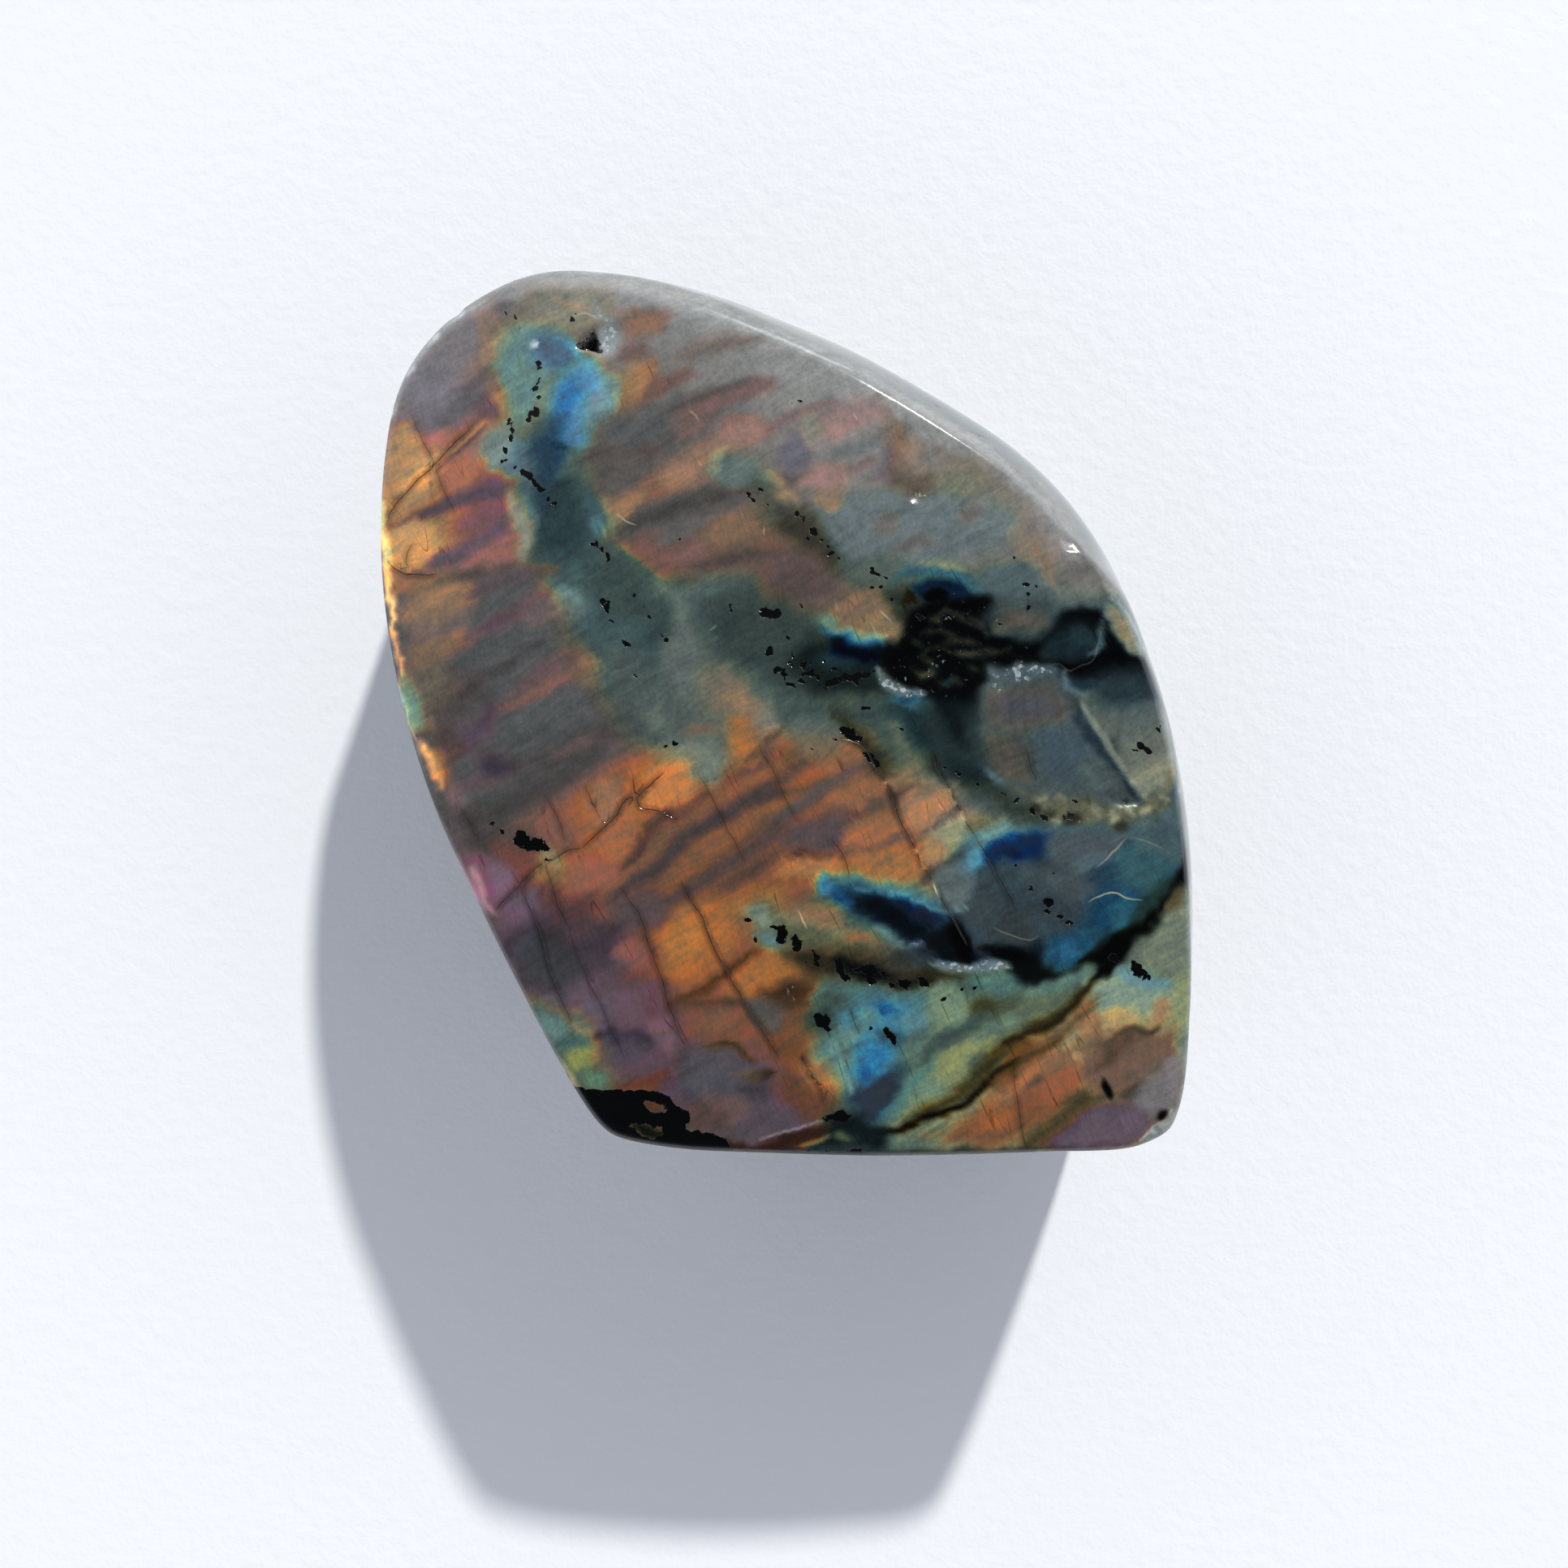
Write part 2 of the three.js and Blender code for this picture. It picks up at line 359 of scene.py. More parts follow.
# brown line and rose haze of the corner
stroke([(-31.5,40.5), (-31,38), (-31.8,35), (-33.6,32), (-36.6,29.6), (-39.6,26.6)], 1.2, (.37,.35,.66),
    1.2, amount=.6)
stroke([(-31.6,39), (-31,36.6), (-31.4,34)], 1.4, (.43,.5,.7), 1, amount=.7)
# teal ground
spot(-28.2, 32.6, 2.2, 3.4, 10, (.44,.5,.34), .8)
spot(-29.6, 29.8, 1.2, 2.2, 20, (.45,.6,.47), amount=.8)
spot(-31.4, 31, 1.1, 1.6, 0, (.42,.5,.73), amount=.8)
stroke([(-28.4,37), (-25,37), (-22.4,35.4)], 1.8, (.44,.42,.36), 1.2)
stroke([(-26,36.2), (-23.4,35.2), (-21.2,33.8)], 1.2, (.44,.75,.28), .9)
area([(-26,34.4), (-24.4,34.8), (-22,33.8), (-22.6,32.6), (-25,33)], (.37,.3,.12), 1)
# the blue flash
area([(-24.6,32.4), (-22,34), (-19.4,33.6), (-17.4,31.4), (-17.6,28.6), (-19.6,26.6), (-20.8,24),
    (-22.6,22.6), (-24.6,24), (-25.2,28)], (.45,.7,.32), 1.7)
stroke([(-21,33.2), (-18.8,32.2), (-17.8,30), (-18.6,27.8)], 1.8, (.48,.6,.4), 1.4, amount=.85)
spot(-19.8, 29.6, 1.3, 2.2, -5, (.55,.22,.26), .9)
area([(-24.2,30.6), (-22.8,32.2), (-20.4,32.4), (-20.6,30), (-21.4,27.6), (-21,25), (-22.4,24.2), (-24,26),
    (-24.6,28.6)], (.48,.8,.16), 1.9)
spot(-23.2, 29.6, .9, 2.2, -14, (.52,.82,.14), amount=.7)
area([(-25,27.6), (-23.6,26.6), (-23,24.4), (-22.4,22), (-24,21), (-25.6,23.6)], (.27,.62,.15), 2.2)
area([(-22.6,24), (-20.8,24), (-20.6,20), (-22,19), (-23,21.4)], (.33,.5,.42), 1.4)
# orange ground right of the flash
stroke([(-17.6,28.4), (-16.8,31), (-16.4,33.4)], 1.1, (.45,.55,.53), 1)
stroke([(-17,27.6), (-15.8,30.4), (-14.4,33.4)], 2.4, (.405,.62,.67), 1.7)
streak([(-16.4,29), (-13,31), (-10,32.4)], 1.4, (.37,.42,.78), 1.2)
streak([(-12,33.6), (-8,35.2), (-3,36)], 1.8, (.42,.22), 1.4)
# dark grey-green ground below the flash
haze([(-20.5,26), (-17,26.5), (-11,28.5), (-6,30.5), (-7,27.5), (-13,24.5), (-17,22), (-20.5,20)],
    (.335,.18), 3)
streak([(-20,23.6), (-15,26.4), (-9,29.4), (-3,31.6)], 1.6, (.3,.15), 1.4)
area([(-27,22), (-22.6,21.6), (-20.6,18), (-21,14), (-25,13.4), (-27,17)], (.235,.38,.28), 2.2)
stroke([(-25.4,25), (-23.4,24.6), (-22,23.6)], .6, (.18,.9,.2), .5)
area([(-30.4,25.4), (-28.2,25.6), (-26.6,23.4), (-26.6,21), (-28.6,20.6), (-30,22.6)], (.4,.32,.24), 1.6)
for x, y, long, wide, turn, tone in [
        (-28.4,23.4, 1.4,1.8, 30, (.43,.25,.2)), (-26.4,18, .9,2.8, -5, (.42,.4,.36)),
        (-25.2,19.4, 1,1.6, 0, (.25,.5,.2))]:
    spot(x, y, long, wide, turn, tone, amount=.8)
# pale rims between the left field and the column
stroke([(-31,24.4), (-29,21.8), (-27.6,19.5), (-27,17), (-26.8,14.5)], 1, (.41,.5,.55), 1, amount=.8)
# left field detail
area([(-42,24), (-40,26.4), (-37,25), (-34.6,21), (-35.6,18), (-40,17)], (.42,.62,.632), 2)
streak([(-37,24.4), (-33,26.4), (-30.5,27)], 1.4, (.43,.72,.72), 1)
area([(-35.4,22.4), (-32.6,24), (-30,22.4), (-28.6,19.4), (-31,18), (-34.4,19.4)], (.425,.8,.815), 1.6)
spot(-32.4, 21.8, 2.2, 1.3, 20, (.44,.85,.8), amount=.8)
area([(-33,17.4), (-29,18), (-27.4,16), (-28,13.4), (-32,13.2)], (.42,.72,.8), 1.6)
spot(-34.4, 16.8, 1.8, 1.3, 20, (.44,.75,.73), amount=.8)
area([(-41.6,17), (-38,18.4), (-35.4,17), (-35.8,14), (-39,12.6), (-41.6,13.6)], (.47,.72,.622), 1.6)
streak([(-41.5,16.6), (-38.6,17.8), (-34,19), (-29,20)], 1, (.27,.4,.8), .9, amount=.8)
stroke([(-41,19.4), (-37,22.6), (-33.4,26), (-31,29.4), (-27.6,31.6)], .9, (.3,.35,.75), .9, amount=.7)
streak([(-36,12.6), (-31,14), (-27,16.4)], 1.1, (.31,.35,.88), 1, amount=.8)
stroke([(-36,29), (-32.4,29.6), (-29.4,28.2)], 1.4, (.33,.35,.88), 1.2, amount=.8)
stroke([(-37.6,26.6), (-34,28.4), (-32,28.6)], 1.4, (.42,.55,.8), 1.2, amount=.8)
# copper and grey streaks of the upper middle
streak([(-18.5,24.5), (-13,25.6), (-8,27.5)], 1.1, (.355,.4,.84), 1)
streak([(-13,27), (-9,28.6), (-4,30.5), (-1,31.5)], 1.5, (.41,.42,.82), 1.2)
streak([(-4,25.6), (0,27.4), (4,28.6)], 1.2, (.42,.3,.84), 1.1)
streak([(-14.6,20.6), (-10,22.8), (-6.4,25), (-2.5,26.4)], 2.4, (.41,.52,.74), 1.8)
spot(-9.6, 23, 2, 1.2, 25, (.48,.66,.69))
spot(-5, 26.8, 1.8, .9, 15, (.43,.5,.78))
area([(-8,23.2), (-5,23.8), (-3,22.4), (-3.4,20.4), (-6.5,20.8)], (.39,.18,.4), 1.8)
spot(-2.2, 20.4, 1.3, .7, 10, (.42,.5,.46))
streak([(-19,17.6), (-16,19), (-12.4,20.4), (-8,21.6)], 1.8, (.4,.52,.74), 1.4)
spot(-17, 18.2, 1.3, .7, 25, (.44,.6,.622))
streak([(-17,16), (-11,18.4), (-5,20), (0,20.6)], 2, (.29,.14), 1.4)
haze([(-13.5,11.8), (-9,14.4), (-4,16.6), (1,17.6), (3,15), (-2,12.4), (-8,11)], (.36,.42,.77), 2.2)
for x, y, long, wide, turn, tone in [
        (-6,16.2, 2.8,1.1, 15, (.4,.48,.69)), (-11.4,14, 1.8,.8, 30, (.38,.5,.76)),
        (-2.6,14.2, 2.2,.9, 15, (.38,.48,.74))]:
    spot(x, y, long, wide, turn, tone)
streak([(-17,14.3), (-13,15.9)], 1.1, (.36,.42,.8), 1, amount=.8)
streak([(-10,12), (-5,13.2), (-1,13.6)], 1, (.28,.2), 1)
streak([(-13,9.8), (-7,11.2), (-2,11)], 1.6, (.31,.2), 1.4)
haze([(-5,12), (0,12.6), (3.6,11), (1,8.6), (-3,9)], (.35,.34,.76), 2.2)
# the teal rim that runs down the column's right side
stroke([(-20.3,20), (-19.8,17.8), (-19.4,16)], 1.4, (.32,.5,.27), 1.2)
stroke([(-18.8,19.2), (-17.9,17.6), (-17.8,15.8)], .9, (.42,.6,.44), .9)
stroke([(-17.4,14.4), (-15.8,13.2), (-14.2,11.6), (-13.2,10.2)], 1.2, (.29,.75,.27), 1.1)
stroke([(-16.8,14.8), (-15,13.5), (-13.4,11.8), (-12.3,10.3)], .8, (.43,.6,.46), .8)
stroke([(-24.4,10.6), (-22.4,9.6), (-20.8,8)], 1.8, (.38,.42,.37), 1.4)
spot(-24.6, 9.4, 1.2, .7, -30, (.4,.5,.602), amount=.8)
spot(-22.6, 7.6, 2.2, 1.2, -30, (.4,.2), amount=.7)
area([(-12.6,11), (-10.4,9), (-9.6,4), (-12,1), (-14.6,4)], (.265,.5,.34), 1.8)
area([(-18,4), (-13,1), (-11,-3), (-15,-5), (-18,-1)], (.335,.18,.4), 2.4)
# left middle: grey, rose and purple bands
streak([(-40.4,10.6), (-36,10.6), (-31.6,10.2)], 1.5, (.42,.62,.66), 1.2)
streak([(-39.6,7.5), (-35,8.4), (-32,8.6)], 1.4, (.44,.6,.66), 1)
streak([(-39,3.5), (-36,4.2), (-33,6)], 1.3, (.42,.55,.66), 1)
streak([(-39,9), (-33,11.3), (-29,12.6), (-26.6,12.8)], 1.2, (.3,.2), 1.1)
streak([(-33,9), (-29,11), (-24,12)], 1.3, (.35,.3,.88), 1.1)
streak([(-30,6), (-27,8), (-24.5,9)], 1.8, (.37,.48,.88), 1.4)
streak([(-37,2.5), (-33,4.5), (-31.5,6)], .9, (.38,.5,.7), .8)
streak([(-33,5), (-29.5,6.5)], 1.1, (.37,.42,.9), 1)
streak([(-28,-.5), (-24,2.2), (-20.5,3.6)], 1.6, (.38,.46,.86), 1.4)
streak([(-35,.5), (-30,1.5), (-26,4.2)], 1.2, (.31,.15), 1)
streak([(-30,-2.6), (-26.5,-.8), (-22,1)], 1.2, (.37,.46,.84), 1)
spot(-20.5, 1, 1.5, .8, 30, (.4,.4,.62), amount=.8)
stroke([(-33,-5.5), (-31,-4), (-29.5,-1.5)], 1.6, (.34,.55,.95), 1.3)
stroke([(-35.4,-8), (-33.8,-6.2), (-31.8,-5.2)], 1.4, (.31,.4,.82), 1)
bloom(-29.3, -7.2, 1.6, 1.2, 30, (.32,.5,.97), 1)
haze([(-36.6,1), (-33,1.6), (-31,-.6), (-34,-3), (-37.6,-2)], (.29,.2), 2.4)
streak([(-28,-9.5), (-23,-6.5), (-18,-4.5), (-14,-3)], 3, (.31,.14), 2)
streak([(-24,-6.8), (-20,-5.2), (-16.5,-5.6)], 1.1, (.36,.36,.84), 1, amount=.8)
streak([(-33,-12.5), (-29,-12), (-24,-10), (-19,-6.6)], 2.4, (.285,.15), 1.6)
streak([(-34,-9.5), (-31,-9.6), (-28,-8.8)], .8, (.34,.4,.84), .8, amount=.7)

# finer marks of the upper left
area([(-40,33), (-37,33.4), (-33.6,31), (-34.4,28), (-38.4,27)], (.43,.22,.92), 2)
area([(-42,24), (-40.6,27.4), (-38.4,26.6), (-37,23.6), (-38.4,21.4), (-41,20)], (.5,.62,.632), .8)
area([(-38.2,25.2), (-35.4,27.2), (-35,26), (-37,23.8)], (.5,.62,.8), .6)
area([(-37,23), (-34.6,25.4), (-31.6,27.6), (-31.4,26.6), (-34,24), (-36.2,21.8)], (.49,.65,.69), .6)
stroke([(-38.8,20), (-36.4,22), (-34,24.6), (-31.4,26.6)], .55, (.33,.4,.86), .5)
area([(-40.6,17.4), (-39.8,19.8), (-37.6,21.6), (-36.4,20.6), (-38,18.6)], (.47,.6,.65), .7)
area([(-35.6,20.4), (-34.6,23.4), (-32,24.6), (-31.4,22.6), (-33,19.8)], (.49,.72,.755), 1.1)
spot(-30.6, 20.8, 1.3, 1, 30, (.4,.62,.91))
streak([(-37.4,18), (-34,19.2), (-31,20), (-28.6,20.6)], 1.2, (.34,.32,.92), 1.3)
area([(-33.4,17), (-31,19.2), (-28.2,19.6), (-27.8,17.6), (-30,16)], (.42,.66,.87), 1.2)
streak([(-36.6,13.2), (-33,14.2), (-30,15.8), (-28.4,17.4)], 1.5, (.37,.34,.94), 1.4)
area([(-41.6,16.4), (-38,17.4), (-36.2,16), (-36,13.6), (-38.6,12.4), (-41.4,13)], (.56,.72,.632), .9)
area([(-33.6,12.4), (-31.6,14.6), (-28.4,15.8), (-28,13.6), (-30.6,12.2)], (.47,.62,.8), 1.2)
stroke([(-28.6,20), (-27.7,17.6), (-27.3,15), (-27.2,13.4)], 1.3, (.53,.18,.5), 1.3)
area([(-31,26), (-28.8,26.4), (-28.6,24), (-30.2,22.6), (-31.2,24)], (.51,.2,.4), 1.1)
area([(-33.2,30.6), (-31.4,32), (-30,30.4), (-30,28), (-32,28)], (.39,.5,.88), 1)
stroke([(-31.6,31.4), (-30.2,29.8), (-29.6,27.8)], .7, (.45,.6,.6), .7)
stroke([(-34.6,29.6), (-32.6,31.6), (-30.8,33.2)], .9, (.33,.2), .9)
spot(-28.6, 31.6, 1.4, 2.2, 10, (.45,.46,.35), .9)
spot(-27, 33.6, 1.2, 1.4, 0, (.42,.42,.37))
area([(-27,36.6), (-24.4,36.4), (-22.8,34.4), (-24.6,33.4), (-27,34.4)], (.44,.35,.12), 1.4)
stroke([(-23.4,35.7), (-22.2,34.6), (-20.8,33.4)], .7, (.49,.75,.26), .7)
spot(-20.4, 31.8, 1.4, 1.1, -30, (.56,.6,.17), .9)
spot(-21.8, 27.2, .8, 1.8, -8, (.52,.6,.2), .9)
stroke([(-18.8,32.8), (-17.8,31), (-17.7,28.8)], .8, (.5,.35,.43), .8)
spot(-15.8, 31.2, .9, 2.2, -12, (.46,.62,.66))
spot(-14, 31, 1, 1.2, 0, (.4,.5,.78))
area([(-18.6,27.4), (-14,28.6), (-11.6,27), (-13.4,24.8), (-18.4,24.4)], (.355,.06), 1.8)
stroke([(-23.8,21.4), (-22.6,22.6), (-22.2,24.4)], 1, (.35,.5,.38), 1)
area([(-26.6,24.4), (-24.6,25), (-23.4,21.6), (-25,20.8)], (.27,.55,.17), 1.4)
stroke([(-19,18.4), (-18.6,17), (-18.9,15.6)], .7, (.47,.55,.47), .7)
spot(-19.9, 16.6, .5, 1.2, -10, (.4,.55,.3))
haze([(-26,41), (-20.4,41.4), (-19.4,38.4), (-23,37.8), (-26,38.8)], (.46,.2,.54), 1.6)
stroke([(-24.6,40.6), (-22,39.8), (-20,39.2)], .8, (.5,.34,.66), 1)
area([(-17.4,38.8), (-14.4,38.8), (-13.8,36.8), (-16.6,36.2)], (.43,.45,.72), 1.2)
# finer marks of the left middle
area([(-40,6.6), (-38,9.6), (-34,10.6), (-33,9.4), (-36.4,7.4)], (.46,.55,.66), 1.3)
area([(-39.4,2.6), (-36.6,5), (-34,5), (-35,3), (-38,1.6)], (.385,.36,.68), 1.4)
haze([(-38.2,-1.8), (-36.8,2), (-34.4,1.8), (-35,-1.2)], (.38,.26,.6), 2)
stroke([(-31.4,6), (-29.8,6.6), (-28.4,7)], 1, (.35,.5,.92), .9)
area([(-27,6.6), (-25.6,9), (-23.8,9), (-24.4,6.8)], (.41,.35,.86), 1.2)
spot(-23.4, 9, .7, .6, 0, (.46,.4,.5))
spot(-22.2, 9.6, 1.2, .7, -25, (.47,.4,.36))
stroke([(-28.4,-2), (-26,-.6), (-23.4,1), (-20.6,2.4)], 1.3, (.42,.5,.77), 1)
spot(-20.4, 2.6, 1, .6, 20, (.43,.5,.66))
haze([(-34.4,-5), (-32,-5.6), (-29.8,-4.4), (-30.6,-3.4), (-33,-3.6)], (.38,.5,.965), 1.9)
haze([(-36.6,-4), (-34.6,-4), (-33.2,-6), (-34,-8.6), (-35.4,-7.6)], (.31,.36,.79), 2)
bloom(-28.8, -7.4, 1.6, 1, 30, (.29,.5,1), 1)
bloom(-31.6, -9.2, 1.6, .7, 20, (.36,.42,.88), 1)
stroke([(-23.6,-6.6), (-21.8,-6), (-19.6,-5.2)], .9, (.35,.3,.8), .9)
area([(-34.6,-8.8), (-34.6,-11), (-33.4,-13.4), (-32.6,-12.6), (-33.4,-10)], (.43,.42,.86), .8)

# finer marks of the upper middle
area([(-13.4,21), (-12,23.2), (-9,24.6), (-7.8,22.6), (-9.4,20.6)], (.48,.5,.71), 1.2)
area([(-8.6,24.2), (-6,26.6), (-2.8,27.6), (-2.4,26), (-5.4,24.4)], (.48,.36,.755), 1.1)
stroke([(-8.4,21.4), (-8,22.8), (-7,24)], .9, (.49,.5,.52), .8)
area([(-8.2,22), (-5.4,22.6), (-3.2,21.4), (-5,20), (-8,20.4)], (.4,.18,.38), 1.2)
stroke([(-7.9,21.6), (-7.4,23), (-6.2,24.4)], 1, (.52,.5,.52), .8)
for x, y, long, wide, turn, tone in [
        (-2.6,20.9, 1,.7, 0, (.45,.5,.46)), (-14.4,24.1, 1.2,.5, 15, (.35,.42,.86)),
        (-10.2,26.6, 1.6,.8, 25, (.42,.38,.8))]:
    spot(x, y, long, wide, turn, tone)
area([(-18.8,18.2), (-17,19.8), (-14.6,20.2), (-15.4,18.8), (-17.6,17.4)], (.46,.52,.68), .9)
area([(-9.4,14.6), (-8,17), (-4.4,18), (-2,17.4), (-3.4,15), (-7,14)], (.4,.42,.69), 1.4)
spot(-2.4, 17.2, 1.2, .8, 0, (.36,.5,.6))
area([(-16.6,14.8), (-14,14.6), (-11.8,12.6), (-12.8,10.9), (-14.4,12)], (.39,.52,.79), 1)
spot(-10.6, 13.4, 1.6, .9, 20, (.41,.42,.8))
area([(-19.4,14), (-16.4,12.6), (-13.4,9.4), (-13,6), (-16.6,7), (-19.6,10)], (.275,.35,.37), 2)
area([(-11.6,9.6), (-8.6,11.4), (-4.6,11.4), (-4,9), (-8,8), (-11,6.6)], (.38,.22,.38), 1.8)
stroke([(-13.4,10.6), (-11.6,8.6), (-11,5.6), (-11.6,2)], 1.4, (.41,.25,.44), 1.4)
area([(-11,3.4), (-6,3), (-3,0), (-6,-3), (-10,-2)], (.39,.22,.5), 2.4)

# Lower left: grey bands, the great copper field, and mauve toward the edge.
# rosy upper bank, then the brightest copper
haze([(-28,-14.5), (-25,-12), (-20,-9.5), (-17,-7), (-14,-6.5), (-16,-12), (-21,-16), (-25,-17),
    (-28.5,-16.5)], (.41,.62,.76), 2.4)
haze([(-22,-12.5), (-17.6,-8.2), (-13.5,-6.6), (-10,-7.4), (-9.4,-10), (-12,-12.6), (-14.6,-15.4),
    (-17.4,-19.4), (-20.6,-20.8), (-22.6,-19), (-20.6,-16.4)], (.44,.92,.71), 1.8)
for x, y, long, wide, turn, tone in [
        (-12.6,-9, 3,1.5, 15, (.46,1,.67)), (-16,-12.2, 3.4,1.3, 40, (.46,.95,.7)),
        (-19.6,-17.6, 2.6,1.3, 35, (.42,.9,.755))]:
    spot(x, y, long, wide, turn, tone)
spot(-23.4, -13.6, 2.2, 1, 25, (.42,.6,.78), amount=.7)
spot(-16.8, -9.6, .8, 1.6, 0, (.36,.7,.76), amount=.7)
# brown middle with its dark bands
haze([(-14,-18), (-9,-12), (-2,-8), (3,-6), (6,-9), (2,-15), (-3,-19), (-8,-21.5), (-13,-23)],
    (.355,.72,.7), 3)
streak([(-27,-25), (-22,-22.6), (-19,-20.2), (-16,-17.4), (-14.6,-15.2), (-12.4,-12.8), (-10,-11.4)], 1.1,
    (.26,.42,.79), 1.1)
stroke([(-10,-13), (-6,-10.6), (-4,-8.4), (-1.6,-5)], 1.3, (.3,.3,.8), 1.1)
stroke([(-18,-21), (-13,-17.6), (-10,-14.8), (-7.6,-13), (-4.6,-11.4), (-1,-9.6), (2,-7.2)], 1.5,
    (.28,.22,.82), 1.2)
streak([(-13.4,-22.2), (-8,-18.6), (-3,-15.4), (0,-12.4), (4,-9.8), (8,-7.4)], 1.3, (.305,.28,.8), 1.2)
streak([(-8,-20.6), (-3,-17.6), (1,-16), (4.6,-13.6)], 1, (.29,.4,.78), 1)
streak([(-13,-15.2), (-9,-11.6), (-5,-8)], .9, (.3,.5,.8), .9, amount=.8)
streak([(-9.6,-12.6), (-5,-9.8), (-1,-7.6)], 1.2, (.41,.8,.71), 1)
streak([(-8.6,-16.2), (-4,-13.2), (1,-10.6)], 1.3, (.4,.8,.7), 1)
streak([(-9,-9.2), (-5.6,-6.6), (-2.4,-4.4)], 2.2, (.38,.85,.7), 1.6)
stroke([(-19,-21), (-16.4,-18.6), (-13.6,-16.2), (-11.2,-13.8), (-8.8,-12.2), (-6.4,-11)], 1, (.38,.62,.71),
    .9)
stroke([(-13,-19.4), (-9.4,-17), (-6,-14.6), (-2,-12.6)], 1.3, (.375,.62,.71), 1)
area([(-22.2,-17.6), (-20.6,-16.6), (-17,-18.4), (-19.6,-20.6), (-22,-20.4)], (.45,.72,.765), 1)
area([(-19.6,-14.6), (-17,-12.6), (-15,-12.6), (-15.4,-15.4), (-18,-17.4)], (.46,.82,.725), 1)
area([(-20,-12.8), (-18.6,-9.2), (-16.4,-9), (-16.8,-11.8), (-18.6,-13.6)], (.45,.58,.7), 1)
area([(-14.2,-11.6), (-13.8,-8), (-11,-7.2), (-9,-9), (-9.6,-10.8), (-12,-12)], (.5,.88,.675), .9)
stroke([(-14.8,-8), (-14.7,-11), (-14.2,-15)], .6, (.4,1,.66), .6, amount=.8)
area([(-25.2,-16.6), (-23.6,-16.2), (-22.4,-17.4), (-23.4,-18.4), (-25,-18)], (.45,.5,.55), .7)
area([(-17.6,-21.4), (-13.6,-20), (-12,-22), (-14.4,-24), (-17,-23.6)], (.34,.35,.84), 1.4)
area([(-12.6,-24.4), (-10.6,-22), (-7.8,-22.2), (-7,-24.6), (-9,-26.4), (-12,-26.6)], (.46,.85,.66), 1.1)
area([(-8.8,-9.2), (-6.8,-6.4), (-5,-4.4), (-4.6,-6.6), (-6.4,-9.4)], (.38,.62,.665), 1.2)
# second bright patch and its tail of deep orange
area([(-14,-26.6), (-12,-23.6), (-9,-21.4), (-6,-21.4), (-5,-24), (-7,-27), (-10,-29.2), (-13,-28.8)],
    (.43,.95,.675), 1.8)
spot(-10.4, -25, 2.2, 1.6, 25, (.455,1,.655))
area([(-6.6,-21), (-2,-19.6), (0,-20.4), (-2,-22.6), (-5.4,-23.4)], (.4,.8,.64), 1.4)
area([(-5.6,-27.6), (-3,-26), (1.4,-25.8), (3,-27.4), (1,-29), (-2,-30.4), (-5.8,-30.2)], (.44,1,.675), 1.4)
spot(-.6, -28, 2.4, 1.1, 18, (.43,1,.66))
area([(-16.6,-27.6), (-14.6,-24.4), (-13,-25.6), (-14.2,-29), (-16.4,-29.6)], (.35,.75,.79), 1.6)
stroke([(-12,-31.4), (-9,-30), (-6.6,-28), (-4,-26), (-2.4,-25)], .8, (.23,.75,.68), .8)
stroke([(-12,-31.6), (-8,-31), (-4,-31)], 1.1, (.28,.6,.73), 1)
area([(-10,-32), (-5.4,-31.8), (-3,-33.4), (-4.4,-35.4), (-8,-36), (-10.6,-34.6)], (.37,.68,.745), 1.8)
spot(-7.4, -33, 2, 1, 15, (.4,.7,.74))
area([(-3.4,-32.4), (0,-31), (2.6,-31.6), (2.6,-35), (.4,-38), (-1.4,-36)], (.33,.62,.7), 1.6)
area([(-4.6,-30.9), (.4,-30.6), (-.4,-32), (-1.8,-34)], (.335,.14,.7), .8)
area([(-3,-29.6), (0,-29), (2.2,-29.6), (1.8,-31), (-1.6,-30.9)], (.19,.6,.67), 1.4)
spot(.8, -36.6, 1.4, 2.6, 35, (.33,.75,.72))
# buff and teal haze at the field's upper corner
area([(-14.6,-1.6), (-10,-1.6), (-6.6,-5), (-7.6,-8.6), (-10.2,-7.4), (-13.6,-5)], (.39,.18,.44), 2.2)
stroke([(-13.6,-6.4), (-10.6,-6.6), (-8.4,-8.6), (-7.6,-10.4)], 1.2, (.44,.5,.55), 1.2, amount=.8)
spot(-8.2, -7.6, 1.1, 1.6, 20, (.44,.18,.44))
# lower left mauves and purples
area([(-34,-12), (-29,-13.6), (-25,-15), (-27,-18), (-30,-17.4)], (.29,.22), 2)
area([(-29.6,-15.6), (-26.6,-16), (-25.4,-18), (-28,-20.4)], (.36,.7,.8), 1.4)
spot(-24, -18.4, 1.6, .9, -10, (.4,.6,.62))
area([(-32.6,-16.6), (-30,-17.2), (-27.4,-19.6), (-25.6,-22.6), (-28,-23.6), (-31,-21.6)], (.45,.8,.9), 1.4)
spot(-29, -19, 1.2, 1.8, 25, (.47,.5,.92))
spot(-26.4, -21.4, 1.6, 1.1, 20, (.43,.4,.98))
haze([(-26,-19.4), (-22.6,-20.6), (-18,-20.4), (-19,-22.4), (-23.6,-23)], (.335,.68,.83), 1.4)
haze([(-28.4,-23), (-24,-22.6), (-18,-23), (-15.6,-26), (-18,-29.4), (-22,-30.6), (-26,-29.4)],
    (.275,.4,.93), 2.2)
spot(-20.6, -24, 2.6, 1, 15, (.31,.45,.88))
spot(-26, -25.4, 1.6, 1, 30, (.34,.4,1))
area([(-22,-30.4), (-18,-29), (-13,-30), (-11.4,-33), (-14,-35), (-19,-33.6)], (.37,.7,.91), 2)
spot(-18.6, -31.2, 2, 1.3, 30, (.41,.4,.97))
spot(-13, -33, 1.8, 1.2, 40, (.4,.6,.88))
area([(-18,-35), (-12,-35.4), (-8,-36.4), (-9,-39), (-14,-39.4), (-17,-38)], (.32,.7,.875), 2)
